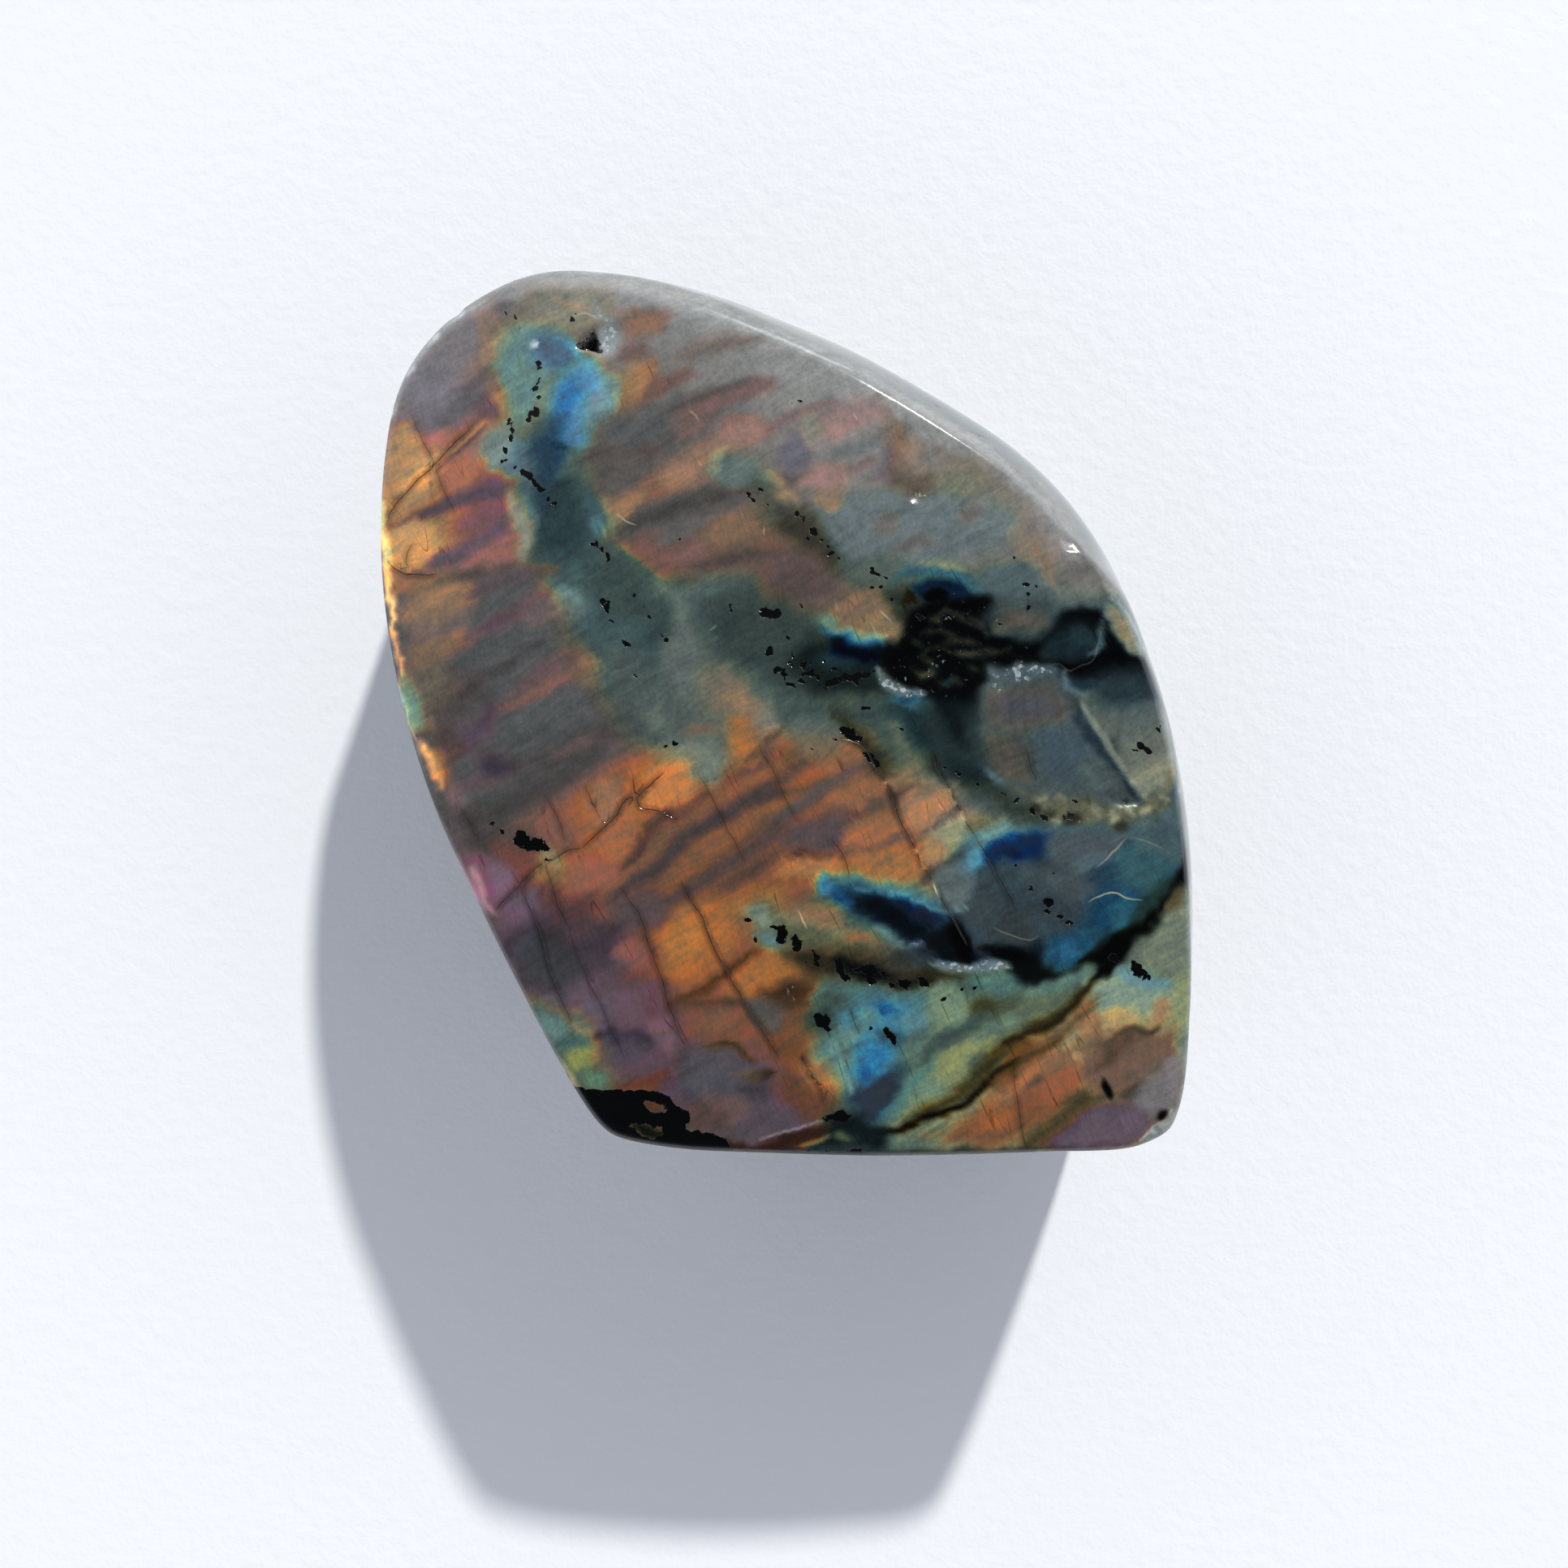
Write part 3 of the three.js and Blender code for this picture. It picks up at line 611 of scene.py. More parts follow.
stroke([(-20,-34.4), (-16,-34.6), (-12,-35.4)], 1.2, (.21,.35,.95), 1.1)
area([(-10,-37), (-4,-37.4), (-2,-40), (-5,-42.4), (-10,-40.6)], (.25,.35,.95), 2)
spot(-4, -38, 2.2, 1, -10, (.32,.4,.93))
area([(-7,-41.4), (-3,-40.6), (1.6,-42), (0,-44), (-6,-44)], (.36,.36,.93), 1.6)
spot(-9.6, -42.6, 1.6, 1, 40, (.35,.5,.74), amount=.8)
area([(-1,-38), (2,-38.6), (4.6,-40.6), (2,-42.6), (-1,-40.6)], (.31,.65,.73), 1.4)
stroke([(-8.4,-36), (-6,-35.6), (-3.4,-36.8)], .9, (.16,.6,.6), .6)
stroke([(-6,-38.2), (-3.6,-38.4), (-1.6,-37.6)], .7, (.16,.5,.6), .6)
# teal, cream and green patch at the lower left edge
area([(-26.4,-31.4), (-23.4,-31.6), (-20.4,-34.4), (-17.6,-37), (-17.4,-39.6), (-21.5,-39.5), (-24.8,-35)],
    (.34,.5,.42), 1.2)
area([(-24.8,-32.4), (-22.4,-32.6), (-22,-34.4), (-23.6,-34.8)], (.45,.45,.36), .9)
area([(-21.6,-31.8), (-19.8,-32.2), (-19.2,-34), (-20.6,-34.6), (-21.8,-33.4)], (.47,.42,.54), .9)
area([(-22.6,-34.6), (-20.6,-34.6), (-20.4,-35.8), (-22.4,-36)], (.33,.5,.34), .7)
area([(-22.4,-35.8), (-19.4,-35.6), (-18.4,-36.6), (-20,-37.9), (-21.9,-37.9)], (.42,.85,.485), .8)
stroke([(-24.2,-35.8), (-22.8,-37.6), (-21.4,-39.4)], .7, (.55,.5,.56), .6)
spot(-19.4, -38.5, 1.2, .8, 0, (.39,.8,.41))
area([(-17.6,-37.8), (-15.4,-38), (-13.6,-39), (-14,-39.7), (-17,-39.6)], (.34,.85,.7), .7)
# mauve blocks between the fine cracks
area([(-22.6,-28.8), (-20,-29), (-19.6,-30.6), (-21.6,-31)], (.41,.42,.93), 1)
area([(-20,-30.8), (-17.6,-30.2), (-17.2,-32.6), (-19,-33.2)], (.44,.35,.985), .9)
area([(-17.4,-30), (-15,-30.2), (-14.4,-33), (-16.8,-33.2)], (.42,.6,.9), .8)
area([(-14.8,-29.8), (-13,-30.4), (-12.8,-32.4), (-14.4,-32.2)], (.38,.75,.885), .7)
area([(-13.8,-33), (-11.8,-33.6), (-11.4,-36.4), (-13.2,-36)], (.42,.55,.87), .7)
area([(-18.6,-34.2), (-15,-34), (-13.8,-35.4), (-16.6,-36)], (.25,.55,.99), .9)
area([(-17,-36), (-13,-36), (-11.6,-38.2), (-14,-39), (-16.8,-38)], (.37,.55,.9), 1.1)
area([(-11,-36.8), (-7,-36.6), (-5.6,-39), (-8,-40.6), (-11,-39.6)], (.3,.08), 1.2)
area([(-8.4,-40.4), (-5.4,-40), (-4,-42), (-6.4,-43.4), (-8.8,-42.2)], (.37,.35,.8), 1)
area([(-16.8,-25), (-14.4,-24.8), (-13.4,-26.8), (-15,-28), (-17,-27)], (.43,.7,.8), 1)
area([(-25.4,-24.6), (-22.6,-24.4), (-22,-27.6), (-24.6,-27.8)], (.24,.2), 1.2)

# Lower right: blue patches, the dark fold, and the green and orange corner.
# copper bars right of the field's middle, with grey bars between
area([(-3,-18.6), (1,-16.4), (4.4,-15), (9,-12.4), (12,-12.2), (13.6,-16), (12.6,-18.6), (8,-18.6),
    (3.6,-18), (0,-19.6)], (.385,.8,.715), 1.6)
area([(4,-17.4), (4.6,-15.4), (7.6,-14.2), (11.4,-13), (12.6,-16.4), (10,-17.6)], (.44,.9,.71), 1.3)
stroke([(-1.6,-17.6), (1,-16.4), (3.4,-16)], 1.4, (.41,.85,.7), 1)
streak([(1,-13), (4.6,-11.2), (8.6,-9)], 1.9, (.4,.78,.72), 1.3)
streak([(-.6,-9.4), (4,-7.4), (7.4,-5.8)], 1.3, (.39,.75,.715), 1)
streak([(-1,-6), (3,-4.4), (7,-4)], 1.6, (.38,.72,.705), 1.3)
spot(11.6, -10.4, 1.4, 2, -25, (.4,.6,.69), amount=.9)
streak([(3.4,-13.9), (8,-11.6), (12.6,-9.6)], 1.2, (.27,.35,.78), 1)
area([(12.4,-14), (12.6,-10.6), (15,-9.8), (17.4,-11.4), (19.4,-13), (16,-14.6)], (.46,.42,.66), 1.8)
area([(13,-6.6), (15.6,-8), (18,-10.6), (16,-11), (13,-9.4)], (.42,.35,.52), 1.6)
# pale rim above the dark vein, then its blue edge and black heart
stroke([(.6,-18.6), (3.2,-17.9), (7.4,-18.9), (12,-19.6), (16,-20.6)], 1.8, (.42,.6,.57), 1.4)
stroke([(2,-19.4), (3.6,-18.5), (7,-19.2), (11,-19.9), (15,-20.9)], 1.3, (.43,.7,.37), .9)
area([(2.8,-19.8), (4,-19), (8,-19.7), (12,-20.6), (16.6,-21.6), (15.2,-22.6), (12,-24.8), (8,-23.8),
    (5,-21.8)], (.27,.85,.18), .9)
spot(3.7, -19.7, 1.1, .6, -30, (.42,.9,.25))
stroke([(9,-20.2), (13,-21), (16.2,-21.6)], .7, (.4,1,.17), .6)
area([(5.6,-20.6), (8.6,-20.6), (12.4,-21.8), (13.8,-23), (12,-24.6), (8.6,-23.6), (6.4,-22)], (.09,.5,.16),
    1.2)
stroke([(2.6,-20.6), (4.8,-22.2), (7.6,-24), (10.6,-25.4)], 1.1, (.34,.55,.4), .9)
# hazy olive ground with black clusters below the vein
area([(-4,-21.6), (0,-21.4), (4,-22.8), (8,-24.8), (11,-26), (5,-26.6), (-.6,-25.6), (-4,-24)], (.33,.5,.5),
    1.4)
stroke([(-1.4,-22.2), (2.6,-23), (6.6,-24.8)], 1.3, (.41,.5,.53), 1)
spot(-3.2, -22.5, 1.8, .9, -25, (.47,.32,.46))
spot(-2.2, -24.9, 1.4, .8, -30, (.44,.38,.32))
area([(-1,-26), (4,-25.8), (9,-26.2), (13,-26.8), (20,-27.2), (22.6,-28.6), (18,-29.8), (9,-29.6),
    (2,-28.8)], (.16,.5,.56), 1.4)
spot(4, -26.3, 1, .5, -5, (.27,.6,.6))
area([(10.4,-25.2), (13.6,-23.6), (16.4,-22.6), (18.4,-25.4), (20.4,-27.2), (14,-27.2)], (.1,.4,.12), 1.4)
# blue-grey ground right of it
area([(15,-18.6), (18,-17.6), (24,-16.6), (29.6,-17.8), (30,-21), (27,-24.4), (23,-27), (18.6,-26.4),
    (16.6,-23)], (.275,.22), 2)
area([(14.2,-18.2), (17,-18.2), (17.4,-20.8), (15,-21.2)], (.4,.3,.35), 1.2)
spot(18.4, -21.6, 2.4, 1.6, -30, (.29,.15))
spot(22, -23.6, 1.6, 2.2, 30, (.25,.1))
area([(21.4,-28), (22,-25.6), (24.4,-25), (24.4,-28.2)], (.13,.5,.16), 1)
# the blue arc
stroke([(14.8,-16.8), (17,-14.6), (20.4,-12.9), (24,-12.2)], 2.4, (.43,.42,.5), 1.8)
stroke([(15.6,-18.4), (16.4,-16.2), (18.8,-14.6), (22.4,-13.2)], 1.7, (.46,.55,.36), 1.2)
stroke([(16.6,-18.2), (18.2,-16.4), (20.8,-15.4), (23.6,-14.2), (25,-14.6)], 2.4, (.37,.95,.15), 1.3)
spot(17.2, -17.6, 1, 1, 0, (.42,.9,.23))
# grey-blue field below the cleaved patch
area([(24,-12.6), (29,-14), (34,-13.6), (38.4,-12), (39,-15.4), (35,-14.8), (31,-16.4), (27,-17.4),
    (25,-15.6)], (.33,.22), 1.6)
spot(36, -12.8, 2.2, 1.2, 20, (.37,.2))
stroke([(27.6,-18.4), (30.4,-16.8), (33,-14.8)], .8, (.42,.1), .6)
# blue crescent
area([(29.6,-18), (32,-15.6), (35,-14.8), (38.6,-16.2), (37.8,-19.8), (33,-24.4), (28.4,-27.4), (24.6,-28),
    (24.4,-25.4), (27.4,-24.8), (29.6,-21.8)], (.28,.72,.23), 1.3)
for x, y, long, wide, turn, tone in [
        (34.6,-17.4, 2.6,1.7, 20, (.31,.75,.29)), (31.4,-21.2, 1.8,1.3, 15, (.29,.85,.2)),
        (30.8,-18.6, 1.5,1.4, 0, (.25,.6,.16))]:
    spot(x, y, long, wide, turn, tone)
area([(24.8,-27.6), (25,-25.8), (28,-25.4), (29.4,-26.4), (27,-27.9)], (.29,1,.22), 1)
stroke([(30,-23.6), (33,-23.8), (36,-20.8)], 2, (.19,.8,.32), 1.6)
# the black-green vein under it
stroke([(39,-16), (38.2,-18.8), (35.4,-22.4), (31.6,-25.6), (27,-28.2), (22,-28.8)], 1.5, (.05,.5,.38), .9,
    taper=.4)
# olive grey at the right edge
area([(39,-20), (36,-22.8), (32.6,-26.2), (35,-27.6), (38.6,-28.6), (39.5,-24)], (.4,.28,.47), 1.2)
# teal, green and gold below the vein
area([(18,-29.6), (22,-29.2), (27,-28.4), (31,-26.6), (33,-27.6), (30,-30), (26,-32), (21,-34), (16,-36.6),
    (12,-39), (12,-36), (16,-32.6)], (.36,.5,.44), 1.6)
stroke([(22,-31), (26,-29.2), (30,-28)], 1.7, (.41,.6,.385), 1.2)
stroke([(21,-32.8), (24.4,-31), (28,-30)], 1.2, (.36,.5,.46), 1)
stroke([(30.4,-27.6), (33.6,-28.2), (37,-29.6)], 1.8, (.45,.55,.35), 1.1)
spot(35.4, -32.2, 1.2, 1.4, 0, (.43,.6,.62))
# blue patch
area([(3,-29.8), (6,-29.2), (13,-29.8), (15.4,-31), (13,-33.4), (10.6,-35.6), (10,-38.6), (6.6,-40.6),
    (4.4,-38.6), (3.2,-35)], (.38,.6,.295), 1.8)
area([(4.6,-33.2), (7.6,-30.8), (12,-31), (12.6,-32.8), (10.6,-35.4), (9.6,-37.8), (7,-39.4), (5,-37.8)],
    (.43,.85,.25), 1.5)
for x, y, long, wide, turn, tone in [
        (7,-36.4, 2,1.6, 50, (.43,.95,.235)), (7.4,-32.6, 1.6,1, 20, (.43,.7,.33)),
        (4.8,-35.6, .8,2.2, 10, (.41,.6,.38)), (4.2,-30.8, 1.4,1, 0, (.3,.5,.4)),
        (3,-32.8, 1.5,1.4, 0, (.24,.5,.4)), (9.8,-35, 1.4,1, -30, (.28,.6,.24))]:
    spot(x, y, long, wide, turn, tone)
area([(5,-39.8), (8.4,-38.6), (10,-37), (11.6,-37.4), (10.4,-39.4), (8.6,-42.4), (5.4,-42)], (.25,.5,.28),
    1.6)
spot(8.6, -41.4, .9, 1.6, -30, (.33,.75,.27))
spot(12.6, -35.4, 1.2, 1.8, -35, (.37,.5,.38))
# yellow-green bands running up to the right
area([(9.6,-42.4), (11,-39.8), (14.4,-36.8), (18.4,-34), (20.4,-33.4), (19,-36.6), (15,-40)], (.42,.62,.48),
    1.6)
stroke([(12,-39.2), (15.4,-36.6), (19.4,-34.4)], 2, (.45,.75,.5), 1.4)
stroke([(12.4,-37), (15.8,-34.2), (18.6,-32.2)], 1.3, (.31,.45,.42), 1.1)
area([(13,-33), (14.4,-30.4), (18,-29.6), (20,-31), (18,-33.4), (15,-34)], (.35,.45,.44), 1.6)
area([(17.4,-31.6), (20,-29.8), (22.4,-30.6), (21,-33.2), (18,-33.6)], (.29,.5,.46), 1.4)
area([(14,-30.2), (18,-30), (20.4,-28.6), (16,-28.4)], (.3,.5,.38), 1.2)
# orange ground beneath the brown vein
haze([(14.6,-44), (18,-41.6), (21,-38.4), (24,-35.6), (28,-32), (31,-31.6), (30.4,-35.6), (29,-39.6),
    (25,-43), (19,-45.4)], (.355,.68,.7), 1.6)
stroke([(22,-36.8), (25,-34.4), (28,-31.8)], 1.8, (.45,.65,.62), 1.2)
spot(20, -42, 2.2, 1.3, 30, (.4,.82,.7))
spot(23, -40, 1.8, 1.1, 30, (.39,.8,.74))
stroke([(20,-38.8), (22.6,-38), (25,-37.2)], .9, (.3,.5,.72), .9, amount=.8)
area([(25.6,-34), (27.6,-32.6), (29.2,-33.8), (28,-35.2), (26,-35.2)], (.47,.42,.55), 1.2)
area([(29.6,-34.6), (34,-35.4), (37.4,-34), (37,-36.6), (32.6,-38.8), (29.8,-38.4)], (.35,.5,.7), 1.6)
area([(32,-40.4), (35,-37.8), (38,-36.4), (38,-40), (36,-43)], (.33,.2,.8), 1.4)
area([(24.4,-45), (26.6,-42.8), (30,-41), (33.6,-41.4), (34.8,-43.4), (31,-45.4)], (.34,.5,.965), 1.2)
stroke([(23,-45), (25.6,-42.8), (29.4,-40.4), (32.6,-39.6)], 1.2, (.24,.45,.56), 1.1, amount=.8)
area([(8.8,-46), (9.6,-44.8), (12.6,-43.4), (15.4,-43), (14,-44.8), (11,-46)], (.38,.5,.42), 1)
spot(14, -43.8, 1.3, .6, 10, (.39,.6,.55))
# finer marks over the yellow-green bands and the blue patch
area([(5.8,-39.8), (7.6,-38.8), (9.6,-37.8), (9.4,-40), (8.2,-42.2), (6.6,-42.6), (6,-41)], (.29,.3,.06), .7)
stroke([(3.9,-34.6), (4.2,-36.6), (4.8,-38.4), (5.6,-39.7)], .6, (.5,.5,.34), .6)
for x, y, long, wide, turn, tone in [
        (5.6,-34.2, 1.3,.9, 20, (.46,.55,.35)), (12.4,-32.8, 1.2,1.3, 0, (.46,.6,.3)),
        (9.6,-31.7, 1,.6, -20, (.4,1,.16)), (8.2,-36.6, 1.7,1.2, 40, (.46,1,.19)),
        (6.9,-38.1, 1,.8, 20, (.43,.95,.16))]:
    spot(x, y, long, wide, turn, tone)
stroke([(9.2,-42.2), (10.4,-40.6), (12.2,-38.4), (14.2,-36.6)], 1.2, (.4,.8,.35), 1)
area([(13.6,-29.8), (15.2,-29.2), (17.2,-30), (17.6,-32), (16,-33.6), (13.8,-33.4)], (.46,.6,.44), 1.2)
area([(17.6,-27.8), (22,-27.9), (22,-30), (19,-30.4), (17.2,-29.4)], (.38,.7,.37), 1)
spot(18.8, -31.6, 1.2, 1, 30, (.22,.8,.5))
stroke([(12.4,-36.6), (15,-34.8), (17.2,-33.2), (19.4,-32.6)], 1.1, (.3,.4,.38), 1)
stroke([(17.4,-35), (19.8,-33.4), (22.4,-32.4)], 1.3, (.42,.5,.42), 1)
area([(13,-38.6), (15,-36.2), (17.6,-34.8), (18.8,-36), (17,-38.4), (14.4,-40)], (.45,.62,.485), 1.3)
spot(12.8, -40, 1.5, 1, 35, (.46,.6,.43))
area([(9.4,-43), (10.4,-41.6), (12.6,-41.2), (13.4,-42), (11.6,-42.8)], (.4,.6,.47), .7)
spot(18.6, -37.2, 1.1, 1.6, -35, (.3,.6,.45))
# cream and gold ground right of the vein
area([(28.4,-29.4), (32.4,-28.4), (37,-30), (37.2,-31.6), (33.4,-32.8), (29.8,-32.2)], (.53,.42,.44), 1.2)
stroke([(32.2,-28), (34.4,-28.8), (37.4,-29.4)], 1.2, (.5,.42,.3), .9)
area([(30.6,-32.2), (33,-32), (34.2,-33.2), (32.6,-35), (31,-34.4)], (.53,.75,.58), 1)
spot(36.4, -31.8, 1, 1.2, 0, (.48,.55,.64))
area([(27.6,-31.4), (29.4,-30.8), (30,-33), (29.2,-35.4), (27.8,-34)], (.48,.62,.66), .9)
area([(24.8,-34.8), (27.4,-32.6), (28,-33.8), (26.8,-35.8), (25,-36)], (.5,.5,.545), .9)
area([(23,-37.2), (24.8,-35.6), (27.4,-36.2), (27.8,-37.4), (25.4,-38.6), (23.4,-39)], (.42,.55,.68), 1)
spot(24.2, -38.4, 1, .9, 0, (.31,.35,.72))
area([(27.4,-34.8), (29.6,-34.6), (30,-36.8), (28.8,-38.2), (27.4,-37)], (.4,.55,.6), .8)
spot(28.4, -36.6, .8, .5, -30, (.55,.6,.6))
spot(26.3, -38.7, 2.1, 1.5, 35, (.42,.8,.735))
area([(30,-35.4), (33,-34), (37,-34.4), (37.6,-36), (34.6,-38.4), (31,-39)], (.34,.42,.74), 1)
stroke([(30.2,-37), (31.6,-35.2), (34,-34), (36,-33.4)], .8, (.22,.4,.6), .7)
area([(33.4,-40.6), (34.8,-38.2), (37.6,-36.4), (38.4,-38), (37,-41.4), (35,-41.8)], (.38,.16,.84), 1)
area([(25.6,-44.8), (28.6,-42.6), (31.4,-41.2), (34.2,-42.2), (35,-43.6), (31,-45)], (.38,.38,.965), 1.6)
stroke([(22.8,-45.6), (25.2,-43.2), (27.6,-41.4), (29.6,-40)], 1.6, (.23,.6,.55), 1.4, taper=.4)
stroke([(19.4,-40.4), (22.4,-38.8), (24,-37)], 1.4, (.44,.7,.69), 1)
# the brown-black vein from the base up to the right, in two threads
area([(20,-38.2), (21,-35.8), (22.8,-34.4), (23.6,-35.4), (22.4,-37.2), (20.6,-39)], (.3,.95,.655), .7)
stroke([(11,-42.9), (14,-41.2), (16.6,-39.6), (19,-37.6), (20.6,-35.6), (23,-34), (26,-32.2), (28.4,-30.2)],
    1.3, (.19,.9,.54), 1, taper=.3)
stroke([(8,-43.8), (11,-43), (13.4,-42.2), (15.8,-41.5), (18,-39.8), (20.2,-38), (22.2,-36.6)], .75,
    (.05,.8,.57), .6, taper=.3)
stroke([(22,-37), (24.4,-35.8), (26.2,-34.4)], .5, (.24,.8,.6), .5)
stroke([(20.8,-34.9), (23.6,-34), (26,-32.5), (28,-30.9), (29.4,-29.4), (30.6,-27.6)], .7, (.12,.8,.55), .6,
    taper=.3)
stroke([(30,-28.8), (31.4,-27), (33,-26)], .9, (.04,.5,.4), .6)
# black along the base and its left corner: dark ground on the face, and painted shade where it runs down the
# wall
area([(3.6,-41.6), (7.6,-42.6), (9.4,-44.2), (8,-46.5), (1,-46.5), (2.6,-44)], (.12,.5,.3), 1.2)
spot(4.2, -42.2, 1.2, .6, ink=1)
stroke([(-1,-45.8), (1.6,-44.8), (4,-44.4)], .8, (.2,.6,.7), .8)
flake([(-22.6,-39.4), (-18,-39.7), (-14,-39.7), (-12.4,-40.2), (-11.4,-41.2), (-9.8,-42.2), (-10.2,-43.6),
    (-7.4,-43.8), (-6,-45.4), (-6,-48), (-24,-48), (-26,-40)], edge=.7, ink=1)
area([(-14.4,-40.6), (-12.9,-41), (-12.4,-42.2), (-13.8,-41.9)], (.19,.9,.52), .5, ink=.1)
area([(-16,-43.2), (-13.8,-43.2), (-12.6,-44), (-14.6,-44.4)], (.09,.6,.46), .6, ink=.2)
# painted shade along the foot of the face
stroke([(-6,-46), (4,-46.3), (9,-46.2)], 1.2, edge=.6, ink=.9)

# finer marks about the two long cracks
streak([(-1,-12.8), (2,-10.6), (5,-8.9), (7.8,-7.2)], 1.3, (.34,.22), 1)
area([(3,-8), (4,-5.8), (6.6,-5.8), (7.6,-7), (5.6,-8)], (.4,.62,.7), 1)
area([(8.4,-8), (8.8,-6), (11,-5.8), (12.4,-7.4), (11,-9.6), (9.6,-9.4)], (.42,.5,.64), 1.2)
stroke([(11.4,-5.8), (12.8,-7.4), (12.4,-9)], 1, (.36,.5,.48), 1)
area([(3.6,-11), (6.4,-8.9), (8.6,-8.8), (9.6,-11), (8,-12.4), (4.6,-12.4)], (.41,.66,.7), 1)
area([(-1,-15.6), (1.4,-13.2), (5.4,-12.4), (5,-14), (4.4,-15.8), (1,-16.2)], (.33,.3,.84), 1.2)
spot(8.4, -11.8, 1.3, .9, 30, (.34,.4,.7))
area([(4.8,-14.2), (7.2,-13), (10.6,-12.8), (11.6,-15.4), (9,-15.6), (5.2,-16)], (.44,.72,.705), .8)
stroke([(5,-16.5), (8,-16), (12,-14.4)], .8, (.36,.4,.74), .8)
area([(5.4,-18), (6,-16.8), (10,-16.2), (12.2,-17), (12.6,-18.6), (9,-18.8)], (.44,.85,.665), .9)
area([(-1,-18.6), (0,-17), (3,-16.6), (4.8,-17.4), (4.4,-18.4), (1.6,-18.6)], (.47,.8,.675), .8)
stroke([(-.4,-16.8), (2,-16.1), (4.2,-16.7)], .4, (.26,.6,.75), .4)
area([(10.6,-12), (11.6,-10.2), (13.8,-10.4), (15.4,-12), (14,-13.2), (11.6,-13.8)], (.49,.6,.68), 1)
area([(13.4,-14.6), (15.4,-12.8), (17,-13.2), (17,-14.6), (15.4,-15.6)], (.51,.42,.52), .9)
area([(12.2,-16.6), (12.8,-14.8), (14.6,-15), (15.2,-16.2), (13.8,-17.8)], (.49,.62,.64), .8)
stroke([(12.6,-14.6), (14.4,-13.1), (16,-11.8)], .6, (.36,.2), .6)
stroke([(12,-19.6), (14,-18), (16.2,-16.6), (18.2,-15.4)], 1, (.27,.2), .7)
area([(16,-10.4), (18.4,-10.4), (21,-11.4), (20.6,-12.6), (18,-12.4), (16.4,-12)], (.38,.1), 1)
spot(18.4, -13.4, 1.2, .9, 20, (.4,.5,.55))
stroke([(17.8,-15.8), (19.4,-14.4), (21.4,-13.4), (23.2,-13.4)], 1, (.5,.55,.36), .9)
area([(19,-17.4), (19.6,-15.6), (21.6,-14.8), (23.8,-14), (25.2,-14.8), (24.6,-16.6), (22,-17)],
    (.33,.8,.08), 1.2)
spot(21.6, -16.6, 1, .7, 0, (.32,.9,.02), amount=.7)
spot(17.4, -17, .9, 1.2, -10, (.48,.8,.25))
area([(14,-19), (14.6,-17.8), (16.8,-17.8), (17.4,-19.8), (16,-21), (14.8,-20.6)], (.47,.1), 1)
stroke([(14.8,-21.6), (16,-21.8), (17.2,-21.3)], .5, (.5,.5,.36), .5)
area([(10.4,-21.2), (13,-21.6), (15,-22.6), (14.2,-23), (11.6,-22.4)], (.3,.7,0), .7)
stroke([(6,-20), (9,-20.1), (12.6,-20.8), (14.8,-21.6)], .45, (.48,.85,.31), .5)
spot(3.6, -19.5, 1.1, .7, -35, (.45,.9,.22))
spot(4.8, -20.9, 1, .7, -50, (.33,.9,.15))
stroke([(7.8,-23.6), (9.6,-24.7), (11.4,-25.6)], .7, (.46,.6,.36), .7)
area([(.6,-20.8), (3,-21.2), (5.2,-22.6), (3.4,-23.4), (1,-22.4)], (.41,.5,.64), .9)
spot(6.4, -24.6, 1.1, .6, 10, (.4,.7,.67))
# smoky dark below the vein, then black ground with pale crystals
area([(9,-26.2), (11.6,-25.2), (14,-25.4), (13.6,-27), (11,-27.8), (9.4,-27.6)], (.23,.2), 1)
area([(15.4,-23.4), (16.6,-23.6), (17.8,-26.8), (16.6,-27)], (.03,.2), .6)
area([(18.6,-25.4), (22,-25.6), (23.4,-27.4), (21,-28.2), (20,-27)], (.04,.2), .7)
area([(4.4,-26.6), (7,-27.2), (9.8,-27.8), (9.6,-29), (7,-29), (5,-27.8)], (.07,.3,.4), .8)
stroke([(9.6,-28.8), (12,-29.2), (14,-29)], .9, (.12,.4,.5), .8)
# blue-grey ground
area([(25.2,-15), (29,-14.4), (33,-14.6), (30.6,-17.4), (26.4,-17.6)], (.345,.12), 1.2)
area([(33.6,-14.6), (37,-14.4), (38.6,-16), (38,-17.4), (35,-16.4)], (.34,.35,.3), 1.2)
area([(22.6,-17.6), (26,-17.8), (29.8,-18.6), (29.4,-21), (26.6,-20.6), (24.4,-19.4)], (.32,.12), 1.4)
area([(31.4,-18), (33.8,-16.6), (36.4,-17.6), (36,-20), (33.4,-20.6), (31.6,-20)], (.3,.6,.27), 1.6)
area([(29.4,-21.2), (31.4,-20.2), (33.8,-20.8), (34.4,-22.6), (31.6,-24.8), (29,-24)], (.265,.95,.195), 1.5)
spot(32.4, -22.8, 1.3, .9, 40, (.3,.9,.24))
area([(34.4,-21.2), (37.2,-18.6), (38.2,-19.4), (35.4,-23.2), (33.4,-24.6)], (.19,.8,.36), 1)
area([(25.2,-24.6), (27.6,-24.4), (29.6,-25.2), (28.4,-26.6), (26,-27.4), (24.8,-26.4)], (.295,1,.2), 1.1)
spot(26.8, -25.9, 1.2, .8, 15, (.36,1,.215))
area([(21.6,-27.4), (24.4,-27.4), (26,-28.4), (23,-29.2), (21.4,-28.6)], (.07,.4,.3), .8)
stroke([(28.4,-26.8), (30.4,-26), (32.6,-24.6)], 1, (.07,.5,.3), .8)
spot(30.6, -25.4, 1.2, .7, 40, (.14,.7,.3))
stroke([(39.4,-16.8), (38.6,-19.4), (35.8,-23.2), (33,-25.4), (30,-27)], 1.9, (.035,.5,.42), 1, taper=.3)
